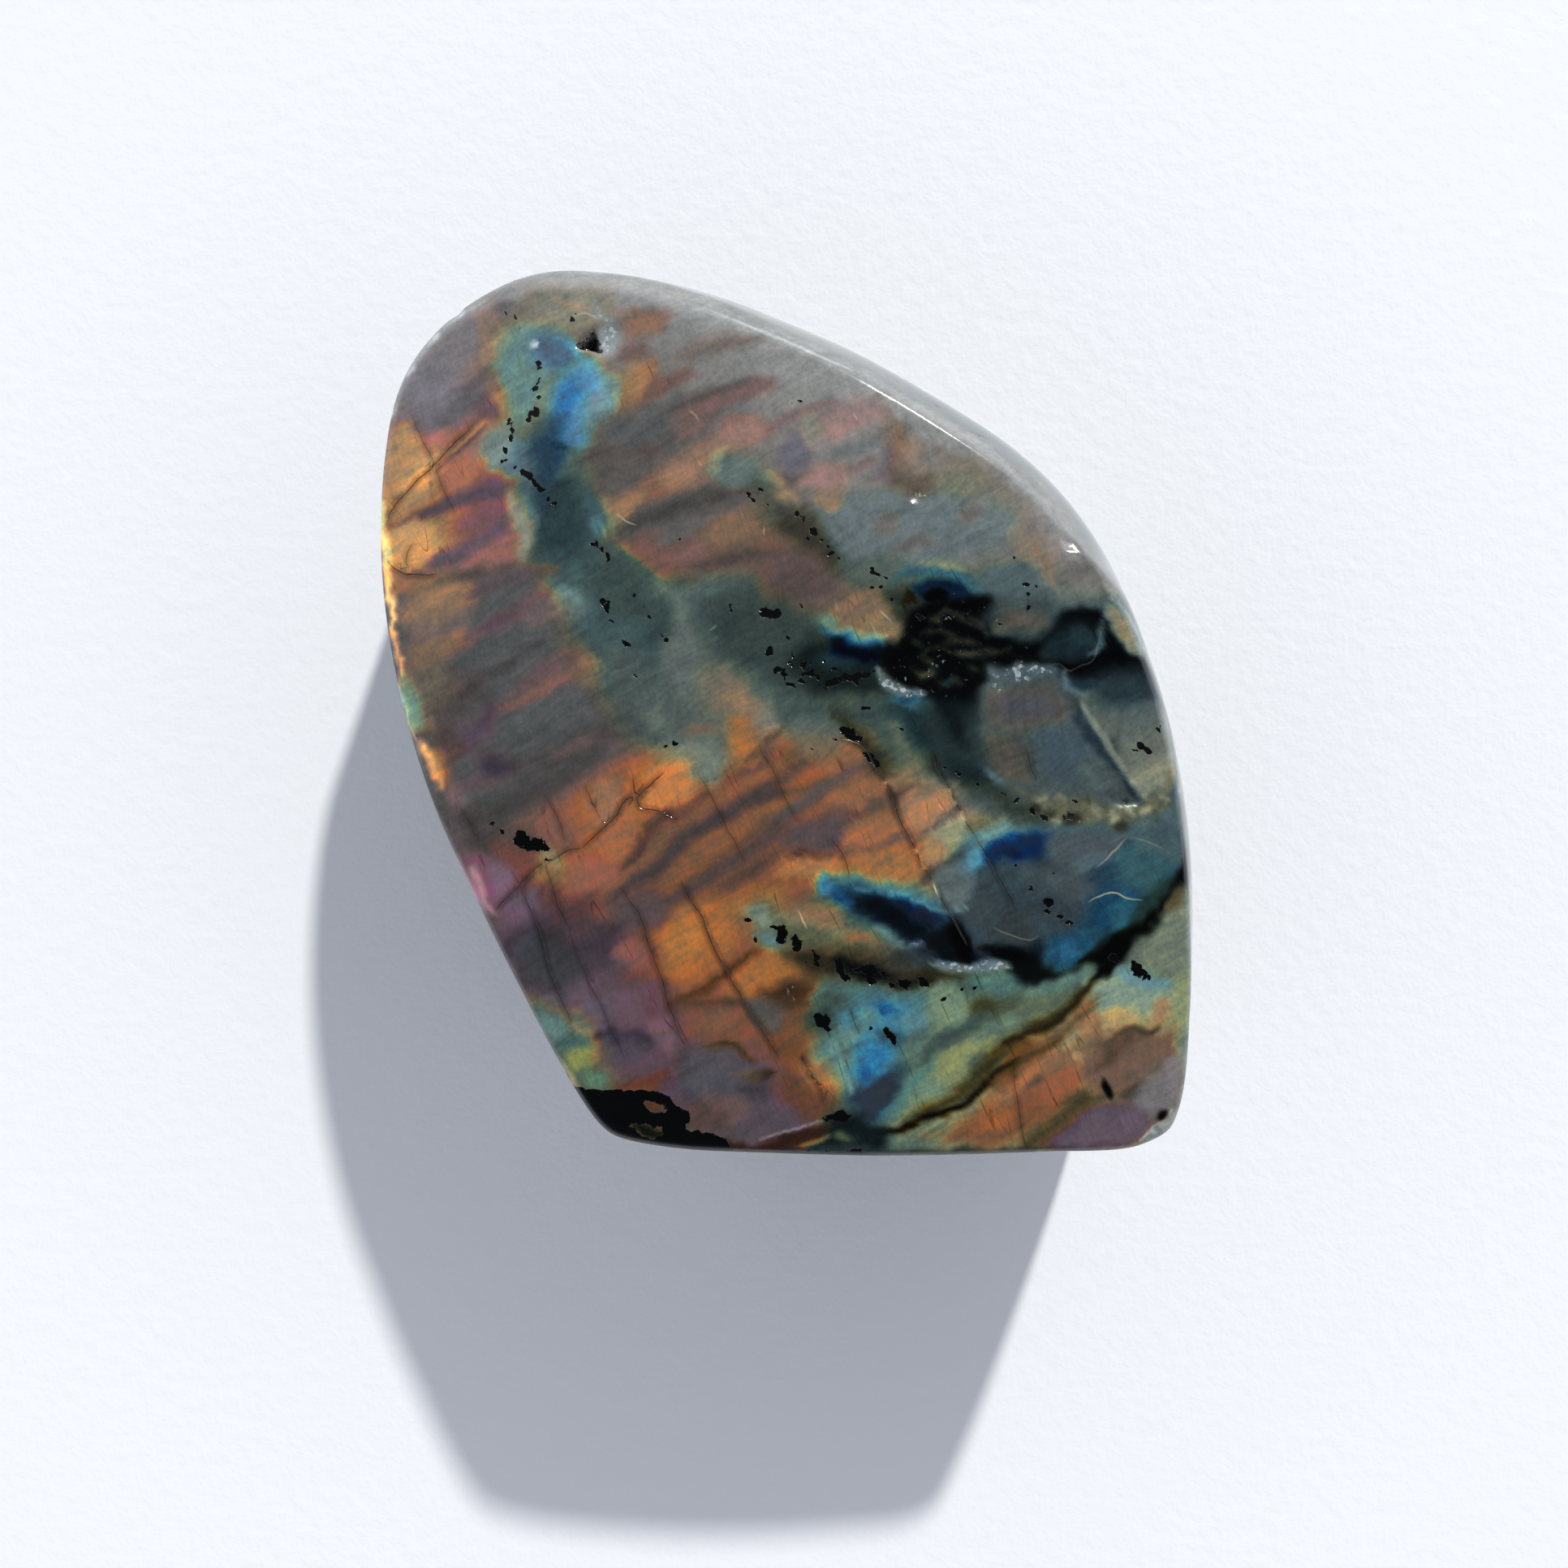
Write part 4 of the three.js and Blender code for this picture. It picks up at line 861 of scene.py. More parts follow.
area([(38.8,-19.4), (36.4,-22.8), (33.6,-26), (36,-27), (38.8,-27.6), (39.6,-23)], (.44,.32,.48), .9)
spot(37.8, -20.8, .7, 1.2, -30, (.28,.6,.57))

# finer marks of the middle
haze([(-9,1.4), (-6.6,2.4), (-4.4,.6), (-4.6,-1.8), (-7.6,-2)], (.4,.26,.6), 1.8)
haze([(-12.6,-.6), (-9,-1.4), (-7,-3.6), (-9,-5.2), (-12,-3.6)], (.35,.16), 1.6)
spot(-9, -4.4, 1.2, .7, 0, (.38,.32,.78), .9)
haze([(-10.6,-5.6), (-7.6,-5.8), (-7,-7.6), (-8.4,-8.6), (-10.4,-7.4)], (.43,.2,.48), 1.8)
area([(-6.8,-.6), (-3.8,-.6), (-1.4,-2.6), (-1,-4.6), (-3.6,-6.4), (-5.8,-4.6)], (.44,.42,.65), 1.6)
spot(-2.2, -3, 1.3, 1.2, 20, (.47,.2,.6), .9)
haze([(-5,2), (-2,2), (0,-.6), (-1,-2.4), (-3.6,.2)], (.36,.3,.38), 1.8, amount=.7)
area([(-6.4,-3.2), (-5.8,-6.4), (-4.2,-8), (-3.2,-6.4), (-4.4,-3.4)], (.43,.85,.665), .9)
stroke([(-4.8,-7.6), (-2.6,-5.6), (-1,-4)], .6, (.27,.4,.66), .6)
area([(-.8,-1.6), (4,-1.8), (5,-4.6), (2,-5.6), (-.6,-4)], (.38,.15,.45), 1.8)
area([(.4,-4.8), (4,-4.8), (4.6,-6.6), (1,-7)], (.38,.38,.6), 1.2)
area([(-2,2.8), (0,3.2), (3,2.8), (3.6,.8), (1,-.4), (-1.4,.6)], (.31,.3,.5), 1)
area([(-13.4,3), (-11.6,6), (-9.6,6), (-9,1), (-11,-.6)], (.39,.12,.44), 1.8)
spot(8.6, -7.4, 1.6, 1.3, 20, (.28,.4,.6))

# Upper right: grey feldspar with faint streaks, and the broken pocket.
streak([(2,26.6), (5.6,27.6), (9,28.6)], 2, (.48,.3,.82), 1.6)
stroke([(1,20.8), (3.4,21.8), (5.6,21.8)], 2, (.45,.38,.76), 1.6)
spot(4.4, 19.6, 1.6, .9, 0, (.42,.42,.7))
spot(11.4, 23.8, 1.2, 2.2, 10, (.41,.4,.66))
stroke([(10.6,27), (10.9,24), (10.4,21.4)], 1, (.34,.4,.6), 1, amount=.7)
spot(.2, 23.8, 1.4, 1.8, 0, (.42,.25,.95))
spot(13, 21, 1.4, .8, 0, (.33,.35,.7))
stroke([(15,24), (19,21.6), (23,18)], 1.2, (.4,.3,.55), 1.2, amount=.7)
area([(16,21.6), (19.4,21.6), (22,19), (25.6,15.4), (24,13.4), (20,17), (16,19.4)], (.45,.22), 2.2)
stroke([(8,25), (14,23), (20,19.4)], 2, (.41,.12), 1.8, amount=.6)
area([(3,18), (12,18.6), (20,17), (22,13), (14,12.6), (6,15)], (.42,.05), 3)
stroke([(5,12.8), (10,12.8), (16,13.4)], 1.2, (.4,.3,.72), 1.2, amount=.7)
stroke([(22,15.6), (24,12.6), (25.6,10.2)], 1.7, (.41,.35,.64), 1.6)
# the dark green shadow that follows the crystals down to the pocket
area([(-4,20.4), (-1,19.4), (3,17), (7,13.4), (11,10.6), (9,8), (6,8.8), (4,11.4), (1,14.6), (-3,18)],
    (.275,.25,.46), 2.6)
area([(-9,9), (-4,10.4), (1,8.4), (4,4.6), (9,4), (10,1), (6,-1.6), (1,-1), (-4,1.4), (-8,4)],
    (.255,.3,.37), 3)
area([(2,4.6), (6,4.4), (9,3.4), (9.4,.4), (6,-1), (2,0), (0,2.6)], (.13,.5,.35), 1.8)
spot(4.6, 2.4, 1.6, .9, -10, (.2,.7,.26))
area([(0,-1), (5,-1.6), (9,-1), (12,-4), (12.6,-7), (10,-7.4), (7,-4.4), (3,-3), (-1,-3)], (.285,.4,.37),
    1.8)
stroke([(4.4,-2.4), (7,-5.4), (9.4,-8)], 1.2, (.17,.5,.5), 1.2)
stroke([(9.6,-4), (11.6,-6.6), (12.8,-9.6)], 1.5, (.4,.4,.53), 1.4, amount=.8)
area([(18.6,11), (22,12.4), (25.6,11), (25,8.4), (20.6,7.6), (18,8.6)], (.34,.32,.3), 1.8)
haze([(20,8), (24,8.6), (26.2,6.8), (24,4.8), (20.6,5)], (.25,.2), 1.6)
area([(24.6,10.6), (28,11.6), (31,10.4), (29,8.2), (25.4,8.2)], (.3,.2), 1.6)
stroke([(28,15), (30,12.4), (31.6,10.6)], 1.6, (.4,.1), 1.4)
# copper spot and the blue-black line under it
area([(3.6,8.6), (6,9.4), (8.4,8.4), (9.4,6), (8.2,4.9), (5.4,5.8), (3.4,7)], (.37,.45,.67), 1.8)
stroke([(2.4,6.8), (4.6,6), (6.6,5.1), (8.6,4.9)], .9, (.41,.6,.5), .9)
stroke([(2,6.2), (4.2,5.5), (6.4,4.7), (8.6,4.5)], .8, (.34,.8,.33), .8)
stroke([(3,5.6), (5,4.9), (7,4.1), (9,4)], 1.2, (.17,.95,.16), .9)
area([(8.6,9), (11,9.8), (12.4,7.8), (11,5.4), (9.6,6.6)], (.19,.5,.42), 1.2)
stroke([(9.6,10), (12,11.4), (15,11.4), (18,9.6), (19,8)], 1.8, (.28,.75,.27), 1.3)
stroke([(11.4,12.2), (15,12.3), (18,11.2), (20,9.6)], .9, (.37,.5,.42), .9)
area([(12.4,9.8), (15,10.4), (17.6,9.4), (17.4,8), (13,8.2)], (.08,.85,.13), .9)
# the black pocket: dark broken ground, with painted shade for its hollow
area([(10,6), (12.6,7.8), (15,8.4), (19,8.8), (20.6,6.6), (19.8,4.6), (23,4.4), (25.6,3.2), (24,2),
    (20,1.2), (18.4,-3), (18,-7), (15,-7), (13.6,-3), (12,0), (9,1.6), (9,4)], (.045,.3,.5), 1.1)
for x, y in [(11.6,4.8), (13.6,2.6), (15.6,5.4), (14.2,6.9), (17,3.2), (12.4,1.4), (18.4,1.6), (16.4,1.2)]:
    spot(x, y, 1.1, .4, -25, (.17,.75,.54), amount=.8)
area([(9.6,-1.2), (12.4,-1.4), (15,-3), (17,-6.4), (15.6,-8.6), (13,-6.6), (10.4,-3.8)], (.19,.65,.28), 1.6)
spot(11.4, -1.7, 1.6, .6, -15, (.3,.95,.23))
# finer marks of the upper right
area([(4,13.4), (12,12.4), (20,14), (22,17.4), (15,20), (6,19.4), (3,17)], (.43,.05,.24), 3)
for x, y, long, wide, turn, tone in [
        (9.6,16.6, 1.6,1, 20, (.41,.15,.97)), (17.6,17.6, 1.4,1, 30, (.42,.15,.97)),
        (12,14.4, 2,.8, 20, (.39,.12,.97))]:
    spot(x, y, long, wide, turn, tone, amount=.8)
stroke([(5,23.8), (8,25), (12,26.6)], 1.4, (.43,.04), 1.1)
area([(3,25.4), (5,25.4), (9,27.4), (8.6,28.6), (4.4,28.2)], (.51,.32,.81), 1.4)
spot(4.6, 26.2, 1.4, .8, 20, (.53,.35,.76), amount=.8)
stroke([(1.6,27.6), (2,26), (1.8,24.6)], 1.3, (.48,.18,.45), 1.2, amount=.8)
area([(8.4,21), (10,24.6), (11,24.2), (10.8,20.6)], (.42,.22,.9), 1.2)
stroke([(10.9,26.6), (11,24.4), (10.6,22.6)], .9, (.42,.55,.68), .9, amount=.9)
spot(12.6, 23.4, 1.2, 1.5, 0, (.51,.4,.68), amount=.8)
area([(10.4,22), (13.4,21.6), (14,19.8), (12,19), (10.4,20)], (.345,.25,.66), 1.4)
area([(14,21.8), (17,22.4), (19,20.8), (17.6,19.8), (14.4,20.4)], (.43,.3,.52), 1.2)
area([(1,20.6), (3.4,22.6), (5.8,21.8), (5.4,20), (3,19.6)], (.51,.38,.79), 1.3)
spot(4, 18.8, 1.5, .9, 0, (.46,.4,.66))
spot(7, 22.6, 1, .6, 10, (.43,.4,.85), amount=.8)
spot(.2, 23.4, 1.3, 1.7, 0, (.44,.3,.985))
stroke([(-1.8,21.4), (-.4,19.6), (1,18.6)], 1.1, (.46,.45,.6), 1)
area([(-1,16.6), (1.4,17.6), (4.6,14), (6,11.6), (3.6,11.8), (.6,14.2)], (.215,.3,.56), 1.4)
area([(-2,12.6), (2,13.4), (4.4,10.6), (3,8.8), (-2,9.4)], (.325,.3,.8), 2)
area([(5.4,12.4), (9,12.8), (11,11), (9,9.6), (6,10)], (.345,.25,.42), 1.4)
area([(3.8,6.8), (4.8,8.8), (8,9.2), (10,7), (10.2,5.2), (8,5.2), (5.6,5.8)], (.4,.4,.67), 1.4)
area([(6.6,6.2), (8.6,7), (10.2,6.2), (10.2,4.8), (8.2,4.9)], (.42,.5,.61), .9)
stroke([(3.4,6.1), (5.4,5.5), (7.4,4.9), (9.6,4.8)], .5, (.5,.5,.4), .5)
stroke([(3.6,5.7), (5.6,5.1), (7.6,4.5), (9.4,4.5)], .4, (.44,.85,.24), .4)
spot(3.6, 6.6, 1.1, .6, -20, (.42,.55,.4))
stroke([(3,5.5), (5,4.9), (7,4.2), (9.4,4)], .7, (.34,.9,.22), .6)
area([(4,4.9), (7,4), (10,3.6), (9.4,2.2), (6,2.6), (4,3.6)], (.12,.9,.07), .8)
flake([(10.7,8.1), (11.6,10), (12.7,8.4)], (.1,.8,.56), .3, smooth=False)
stroke([(10.4,10.8), (13.4,11.6), (16.4,10.6), (18.6,8.8)], 1.2, (.34,.75,.25), .9)
area([(11.8,9.8), (13.4,10.4), (16.4,9.8), (18,8.6), (16,8.2), (13,9)], (.2,.9,.12), 1)
flake([(13.2,9.2), (14.4,9.8), (15.6,9.4), (15.2,8.6), (13.4,8.5)], (.03,.3,.2), .4)
stroke([(12.6,12.2), (14.6,12.4), (17,11.4)], .8, (.47,.4,.52), .8)
area([(18.6,11), (22,12.6), (26.4,11.6), (27,9), (22,7.6), (18.8,8.6)], (.36,.2,.3), 1.8)
area([(22,15.4), (25.6,14.4), (27.2,10.6), (25.6,10.2), (23.4,12.4)], (.46,.25,.64), 1.4)
stroke([(24.4,14.4), (25.8,11.6), (26.6,9.6)], .8, (.43,.45,.66), .8, amount=.8)
haze([(19.8,5.8), (21.4,7.8), (24.6,7.6), (25.8,6.6), (24,5.6)], (.38,.24,.62), 1.3)
area([(26.6,11.8), (30.4,11.6), (31,9.4), (28,8.6), (26.6,9.4)], (.42,.1), 1.2)
# the black pocket, dark broken ground with painted shade for its hollow, and the dark angular ground right
# of it
area([(11,5), (12.6,7.6), (15,8.2), (18.6,9), (20.4,7.4), (19.8,5.2), (22.6,4.6), (25,5.6), (26.6,7.4),
    (30.4,8), (31.4,6.2), (33.4,3.6), (35,2), (35.4,-.4), (32.6,-.2), (30.4,-.4), (28.4,.6), (25,1.6),
    (21.6,1.6), (19.2,1.2), (18.8,-3), (18.2,-7), (15.2,-7), (13.6,-3), (12,-.4), (9.4,1.6), (9.2,3.6)],
    (.03,.3,.25), .9)
area([(24.6,4), (26.2,5.2), (28.6,6.2), (29.8,4.6), (29,2.8), (26.6,2.2), (24.8,2.6)], (.16,.5,.26), .9)
spot(28.4, 5, 1, .6, 30, (.22,.4,.3))
area([(31.4,8.4), (32.6,8), (34.4,4.6), (35.8,2.2), (34.6,2.8), (32.6,5.2), (31.6,6.6)], (.47,.45,.555), .6)
spot(33, 5.8, .7, 1.1, -30, (.42,.7,.58))
spot(30, -.2, 1.6, .7, -20, (.17,.6,.2))
for x, y in [(12.4,4.4), (13.6,2.6), (15.8,5.2), (14.2,6.7), (17,3.2), (12.8,1.4), (18,1.8), (16.4,.6),
    (17.6,6.4)]:
    fleck(x, y, .8, .35, -25, (.16,.8,.55), .6, amount=.8)
area([(13,-.8), (14.4,-3.2), (16,-5.8), (17.6,-8.6), (15.4,-8.4), (13.6,-6), (11.2,-3.4), (10.6,-1.4)],
    (.17,.7,.29), 1)
spot(11.8, -1.9, 1.5, .6, -20, (.34,.95,.23))
# the cleaved patch below it
area([(18.8,-.2), (22,.6), (26,.8), (28.2,-.8), (30,-4), (32.6,-8), (35,-11.2), (31,-12.6), (25,-11.6),
    (21,-9.2), (18.8,-7.6), (18.4,-4)], (.3,.05,.3), 1)
area([(20,-.8), (25.4,-.4), (27,-2.4), (26,-4.4), (20.6,-3.4)], (.325,.1,.97), 1.6)
area([(24.4,-4), (28.6,-3.8), (30,-6.6), (28,-9), (25,-8)], (.345,.32,.18), 1.6)
area([(18.8,-4.4), (22.4,-5), (24,-8.4), (21.4,-9.2), (18.8,-7.4)], (.295,.25,.62), 1.4)
spot(30.2, -8.4, 1.8, 1.4, -45, (.33,.22,.36))
stroke([(28.2,-1.8), (30,-5), (32.4,-8.4), (34.6,-11)], .9, (.2,.4,.15), .7)
for x in (19.8, 21.4, 22.8, 24.2, 26.2):
    scratch([(x,-.6), (x + 0.5,-4), (x + 1.3,-8)], .35, (.25,.1), .4, amount=.5)
flake([(28.4,-1.4), (30.2,-4), (32.8,-8), (35.2,-11.4), (37.8,-9.8), (38.2,-6), (37,-1.8), (33.4,-.8),
    (30,-.2)], (.385,.16,.46), .5)
area([(33,-5.6), (36,-5), (38,-7), (37.6,-9.6), (35.4,-10.8), (33.8,-8.6)], (.485,.3,.52), 1.2)
spot(34.8, -2.6, 1.6, 1.4, 0, (.43,.1))
spot(31.6, -5.9, .7, .9, 0, (.25,.1))
scratch([(32.2,-1), (32.5,-3), (32.2,-5)], .6, (.29,.1), .6)
scratch([(28.8,-1.8), (30.6,-4.6), (33.2,-8.6), (35.6,-11.6)], .7, (.52,.25,.5), .35, taper=.3)
spot(37.7, -8.8, .5, 1.2, 0, (.4,.6,.57))
# crust of small crystals along its foot
area([(20,-9.4), (23,-10), (28,-10.6), (31,-11.2), (34.6,-11.2), (37.4,-10.2), (37.6,-12), (33,-13.8),
    (28,-13.6), (24,-12.4)], (.33,.4,.51), 1)
for x, y, size, tone in [(24.6,-11,.7,.46), (26.4,-10.8,.6,.42), (26,-13.1,.6,.44), (30,-12.2,.8,.44),
    (31.8,-13,.8,.5), (33.4,-12.2,.6,.52), (35,-12.2,.7,.5), (36.8,-10.9,.6,.46), (29.2,-11,.5,.24),
    (23.8,-12,.8,.12), (27.6,-13,1,.16), (33,-11.2,.4,.16), (25.4,-12.4,.6,.2), (32.4,-13.8,.8,.2)]:
    fleck(x, y, size, size * 0.6, -20 + 60 * grain(x, y, seed=5), (tone,.35,.53), .6)
area([(12.8,-6.4), (18,-7.6), (21,-10), (25,-13), (22,-13.2), (17,-10.4), (13.6,-8.4)], (.215,.35,.42), 1.4)
area([(15,-7), (18,-7.4), (19.4,-9.4), (17,-9.4)], (.13,.5,.3), .9)
spot(19.6, -9, 1.4, .5, -35, (.4,.4,.28))
# along the edges: a grey band down the right wall, painted highlights along the right rims, painted shade
# along the base and a thin line of painted shade down the left rim
stroke([(38.6,-9), (39.4,-14), (39.6,-17)], 1.4, (.38,.15,.2), 1.2, amount=.7)
# painted highlight down the lower right rim
stroke([(39.8,-20.6), (39.9,-28), (39.3,-36), (38.4,-40.6)], .8, (.6,.02), .6)
# painted shade along the foot of the face
stroke([(-9,-45.2), (0,-45.7), (10,-45.7), (22,-45.6), (33,-45)], .8, (.22,.3), .8)
# painted highlight along the upper right rim
stroke([(31.4,11), (34.2,6), (36.6,.6), (38.4,-5), (39.4,-11)], .7, (.56,.02), .6)
# painted shade down the left rim
scratch([(-42.9,28), (-42.9,20), (-42.3,14.4), (-41.5,9), (-40.5,3.6), (-38.9,-3.4), (-36.9,-9),
    (-34.8,-13.6)], .4, (.2,.2), .4)

# Softer passes over all of it.
# the upper left corner: greyer, with a painted highlight along its bevelled rim, and small chips
area([(-41.6,29), (-39.6,34.4), (-36,38.4), (-32,41), (-31,37), (-33,33), (-36,29)], (.47,.18), 2.4)
stroke([(-32.6,39.4), (-31.6,36.6), (-31,34)], 1.2, (.46,.35,.7), 1.2)
streak([(-35.6,27.2), (-33.4,29.4), (-31.2,32)], 1.4, (.39,.14), 1.4)
scratch([(-41.4,28.6), (-39.6,33.8), (-36.2,37.8), (-32,40.8)], .9, (.56,.06), .6)
for x, y in [(-34.4,39.2), (-37,36.8), (-39.4,33.4), (-41.3,28.8)]:
    fleck(x, y, .5, .35, 45, (.74,0), .6)
haze([(-40,20), (-38.4,24), (-35.6,23.8), (-37,20.8)], (.6,.8,.64), 1.8)
bloom(-30.8, 25.6, 1.6, 1.1, 40, (.46,.22), .9)
# the warm haze inside the left edge
haze([(-39.6,8), (-37,9.4), (-33,8.6), (-34,5.6), (-38.4,4.4)], (.47,.45,.7), 2.4, amount=.6)
# lower left: pink rim, mauve, and the smoky grey under it
stroke([(-31.9,-17.8), (-30.9,-20.4), (-29.7,-22.4)], .9, (.62,.55,.87), .6)
bloom(-27.4, -22.2, 1.8, 1.4, 30, (.42,.5,.92), .9)
haze([(-27.4,-26.4), (-23.6,-25.4), (-20.6,-27), (-21.6,-29.4), (-25,-30)], (.28,.14), 2)
haze([(-21.4,-28.4), (-17.4,-27), (-14.6,-30.6), (-15.6,-34), (-19,-32.6)], (.38,.42,.89), 2.4, amount=.7)
streak([(-25.9,-31.3), (-22.6,-31.5), (-19,-33.6)], 1.4, (.38,.22), 1.2)
streak([(-18.4,-34.8), (-17.6,-37.4), (-16.6,-39)], 1.4, (.36,.2), 1.2)
bloom(-16.2, -35.8, 2.4, 1.1, 15, (.34,.24,.95), .9, amount=.8)
stroke([(-16.8,-39.2), (-14.6,-39), (-12.6,-38.4)], 1, (.3,.75,.76), .9)
# the foot of the copper field
haze([(-11,-36), (-6,-35.8), (-3,-37.4), (-5,-39.4), (-10,-39.6)], (.35,.22), 2)
haze([(-14,-40.4), (-9,-40.8), (-6,-43), (-9,-44.4), (-13,-43)], (.3,.4,.8), 1.6, amount=.7)
spot(2.6, -38.4, 1.7, 1.3, -40, (.46,.8,.66), .9)
area([(-7,-44.8), (-2,-44.6), (2.8,-43), (3.4,-44), (0,-45.4), (-6,-45.8)], (.17,.6,.76), .6)
scratch([(3.2,-42.4), (.6,-43.4), (-3,-44.5)], .25, (.56,.2), .3)
scratch([(.8,-45.1), (2.4,-44.8), (3.8,-44.2)], .5, (.36,.8,.6), .4)
spot(5.4, -44.4, 1, .6, -20, (.28,.6,.48))
# top: a painted highlight along the line where the roll begins, and a darker band outside it
stroke([(-8,40.6), (2,36.6), (12,31), (20,25.4), (26,19.4)], 1.6, (.42,.06), .9)
scratch([(-10.6,39.7), (-4,37.2), (0,35.3), (6,32.6)], .3, (.7,.04), .3)
bloom(-6.4, 22.2, 2.4, 1.4, -20, (.42,.2), .9, amount=.6)
bloom(0, 23.8, 2.2, 1.6, 60, (.43,.18), .9, amount=.55)
stroke([(9.4,28), (10.6,24.6), (12.2,21)], 1.7, (.41,.3,.7), 1.5, amount=.7)
bloom(13.8, 23.4, 1.8, 1.3, 30, (.44,.14), .9, amount=.7)
# the broken pocket: fibres, rusty bits and a teal glint at its lip
for points, tone in [([(13.4,6.2), (15,7.2), (17,6.8)], .42), ([(12.6,5), (14.4,5.6), (16,5)], .34),
    ([(15,4.2), (17,4.8), (19,4)], .38), ([(17.6,7.2), (18.8,6.4), (19.4,5)], .36),
    ([(13,3.4), (14.6,3.8), (16.2,3.2)], .32), ([(18.2,3.4), (20,3.2), (21.6,3.8)], .36)]:
    stroke(points, .5, (tone * 0.45,.35,.58), .5)
for x, y, long, wide, turn, tone in [
        (17.4,3.2, 1,.5, -15, (.22,.6,.56)), (13.8,1.6, 1,.5, 10, (.24,.65,.56)),
        (15.4,.6, .7,.4, 0, (.2,.6,.36)), (12,-1.8, 1.4,.8, -20, (.32,.7,.27))]:
    spot(x, y, long, wide, turn, tone, .9)
area([(12.6,-2.4), (15,-1.8), (18,-2.6), (19.2,-5.4), (18.2,-8.6), (15.6,-7.4), (13.4,-5)], (.2,.35,.3), 2)
stroke([(14.4,-1.6), (16.2,-3.4), (17,-5.4)], 1.6, (.1,.4,.28), 1.6)
# right of it: the hazy patch, the dark head of the wedge, and the thin shelf at the rim
haze([(19,-.6), (27,-.4), (30,-5), (33,-9.6), (26,-11), (21,-10), (18.6,-6)], (.32,.14), 2.4, amount=.5)
area([(29.6,1), (35.6,1.6), (37,-1), (33.6,-2.6), (30,-1.6)], (.22,.35,.24), 2)
haze([(30,-2.6), (36,-2), (37,-6), (34,-8), (31.4,-5)], (.37,.14), 2, amount=.7)
stroke([(31.6,8), (33,6), (35,3)], 1.4, (.42,.25,.54), 1.2, amount=.7)
haze([(20,8.6), (25.6,9), (26.4,6.4), (23,4.8), (20,6)], (.28,.12), 1.6, amount=.65)
spot(28, 5, 2.6, 1.8, 15, (.17,.5,.22), .9, amount=.6)
bloom(15.4, -19.6, 2.6, 1.8, 40, (.34,.15), .9, amount=.6)
# lower right: the fold's rusty smears, the dusky patch with its slot, and the chipped corner
streak([(19.6,-38.8), (23,-36.4), (26.6,-33.8), (30,-30.6)], 1.3, (.24,.7,.62), 1.2, amount=.7)
area([(28.6,-36.4), (33.4,-34.6), (37.4,-35), (36.8,-37), (34,-39), (30,-39.4)], (.38,.42,.72), 1.2)
stroke([(30.4,-37.2), (32,-35.8), (33.8,-34.6)], 1, (.28,.4,.68), 1)
stroke([(31.2,-40.4), (33,-39.8), (34.6,-38.6), (37.2,-36)], .5, (.27,.4,.72), .6)
fleck(30.9, -39.5, .35, 1, 20, (.02,.2), .6)
area([(34.8,-38), (37,-36.4), (38.8,-36), (38.8,-39.6), (38,-41.8), (34.8,-41.8), (33.6,-40.4)], (.46,.16),
    1.1)
area([(27,-44.8), (29.6,-42.4), (33,-41.6), (35,-42.8), (34.4,-44.6), (30.6,-45.4)], (.4,.42,.92), 1.2)
flake([(34.4,-44.6), (35.8,-43.6), (37.2,-41.9), (38.2,-41.7), (37.6,-43.4), (36.4,-44.6)], (.52,.1), .4)
scratch([(34.3,-44.7), (35.9,-43.3), (37.5,-41.6)], .28, (.72,.04), .3)
fleck(36.5, -42.1, .6, .45, 30, (.05,.4), .6)
# the painted highlight down the lower right rim, laid again in a softer grey
stroke([(39.6,-19), (40,-25), (39.9,-31), (39.3,-36), (38.6,-39.6)], 1.5, (.44,.12), .8)

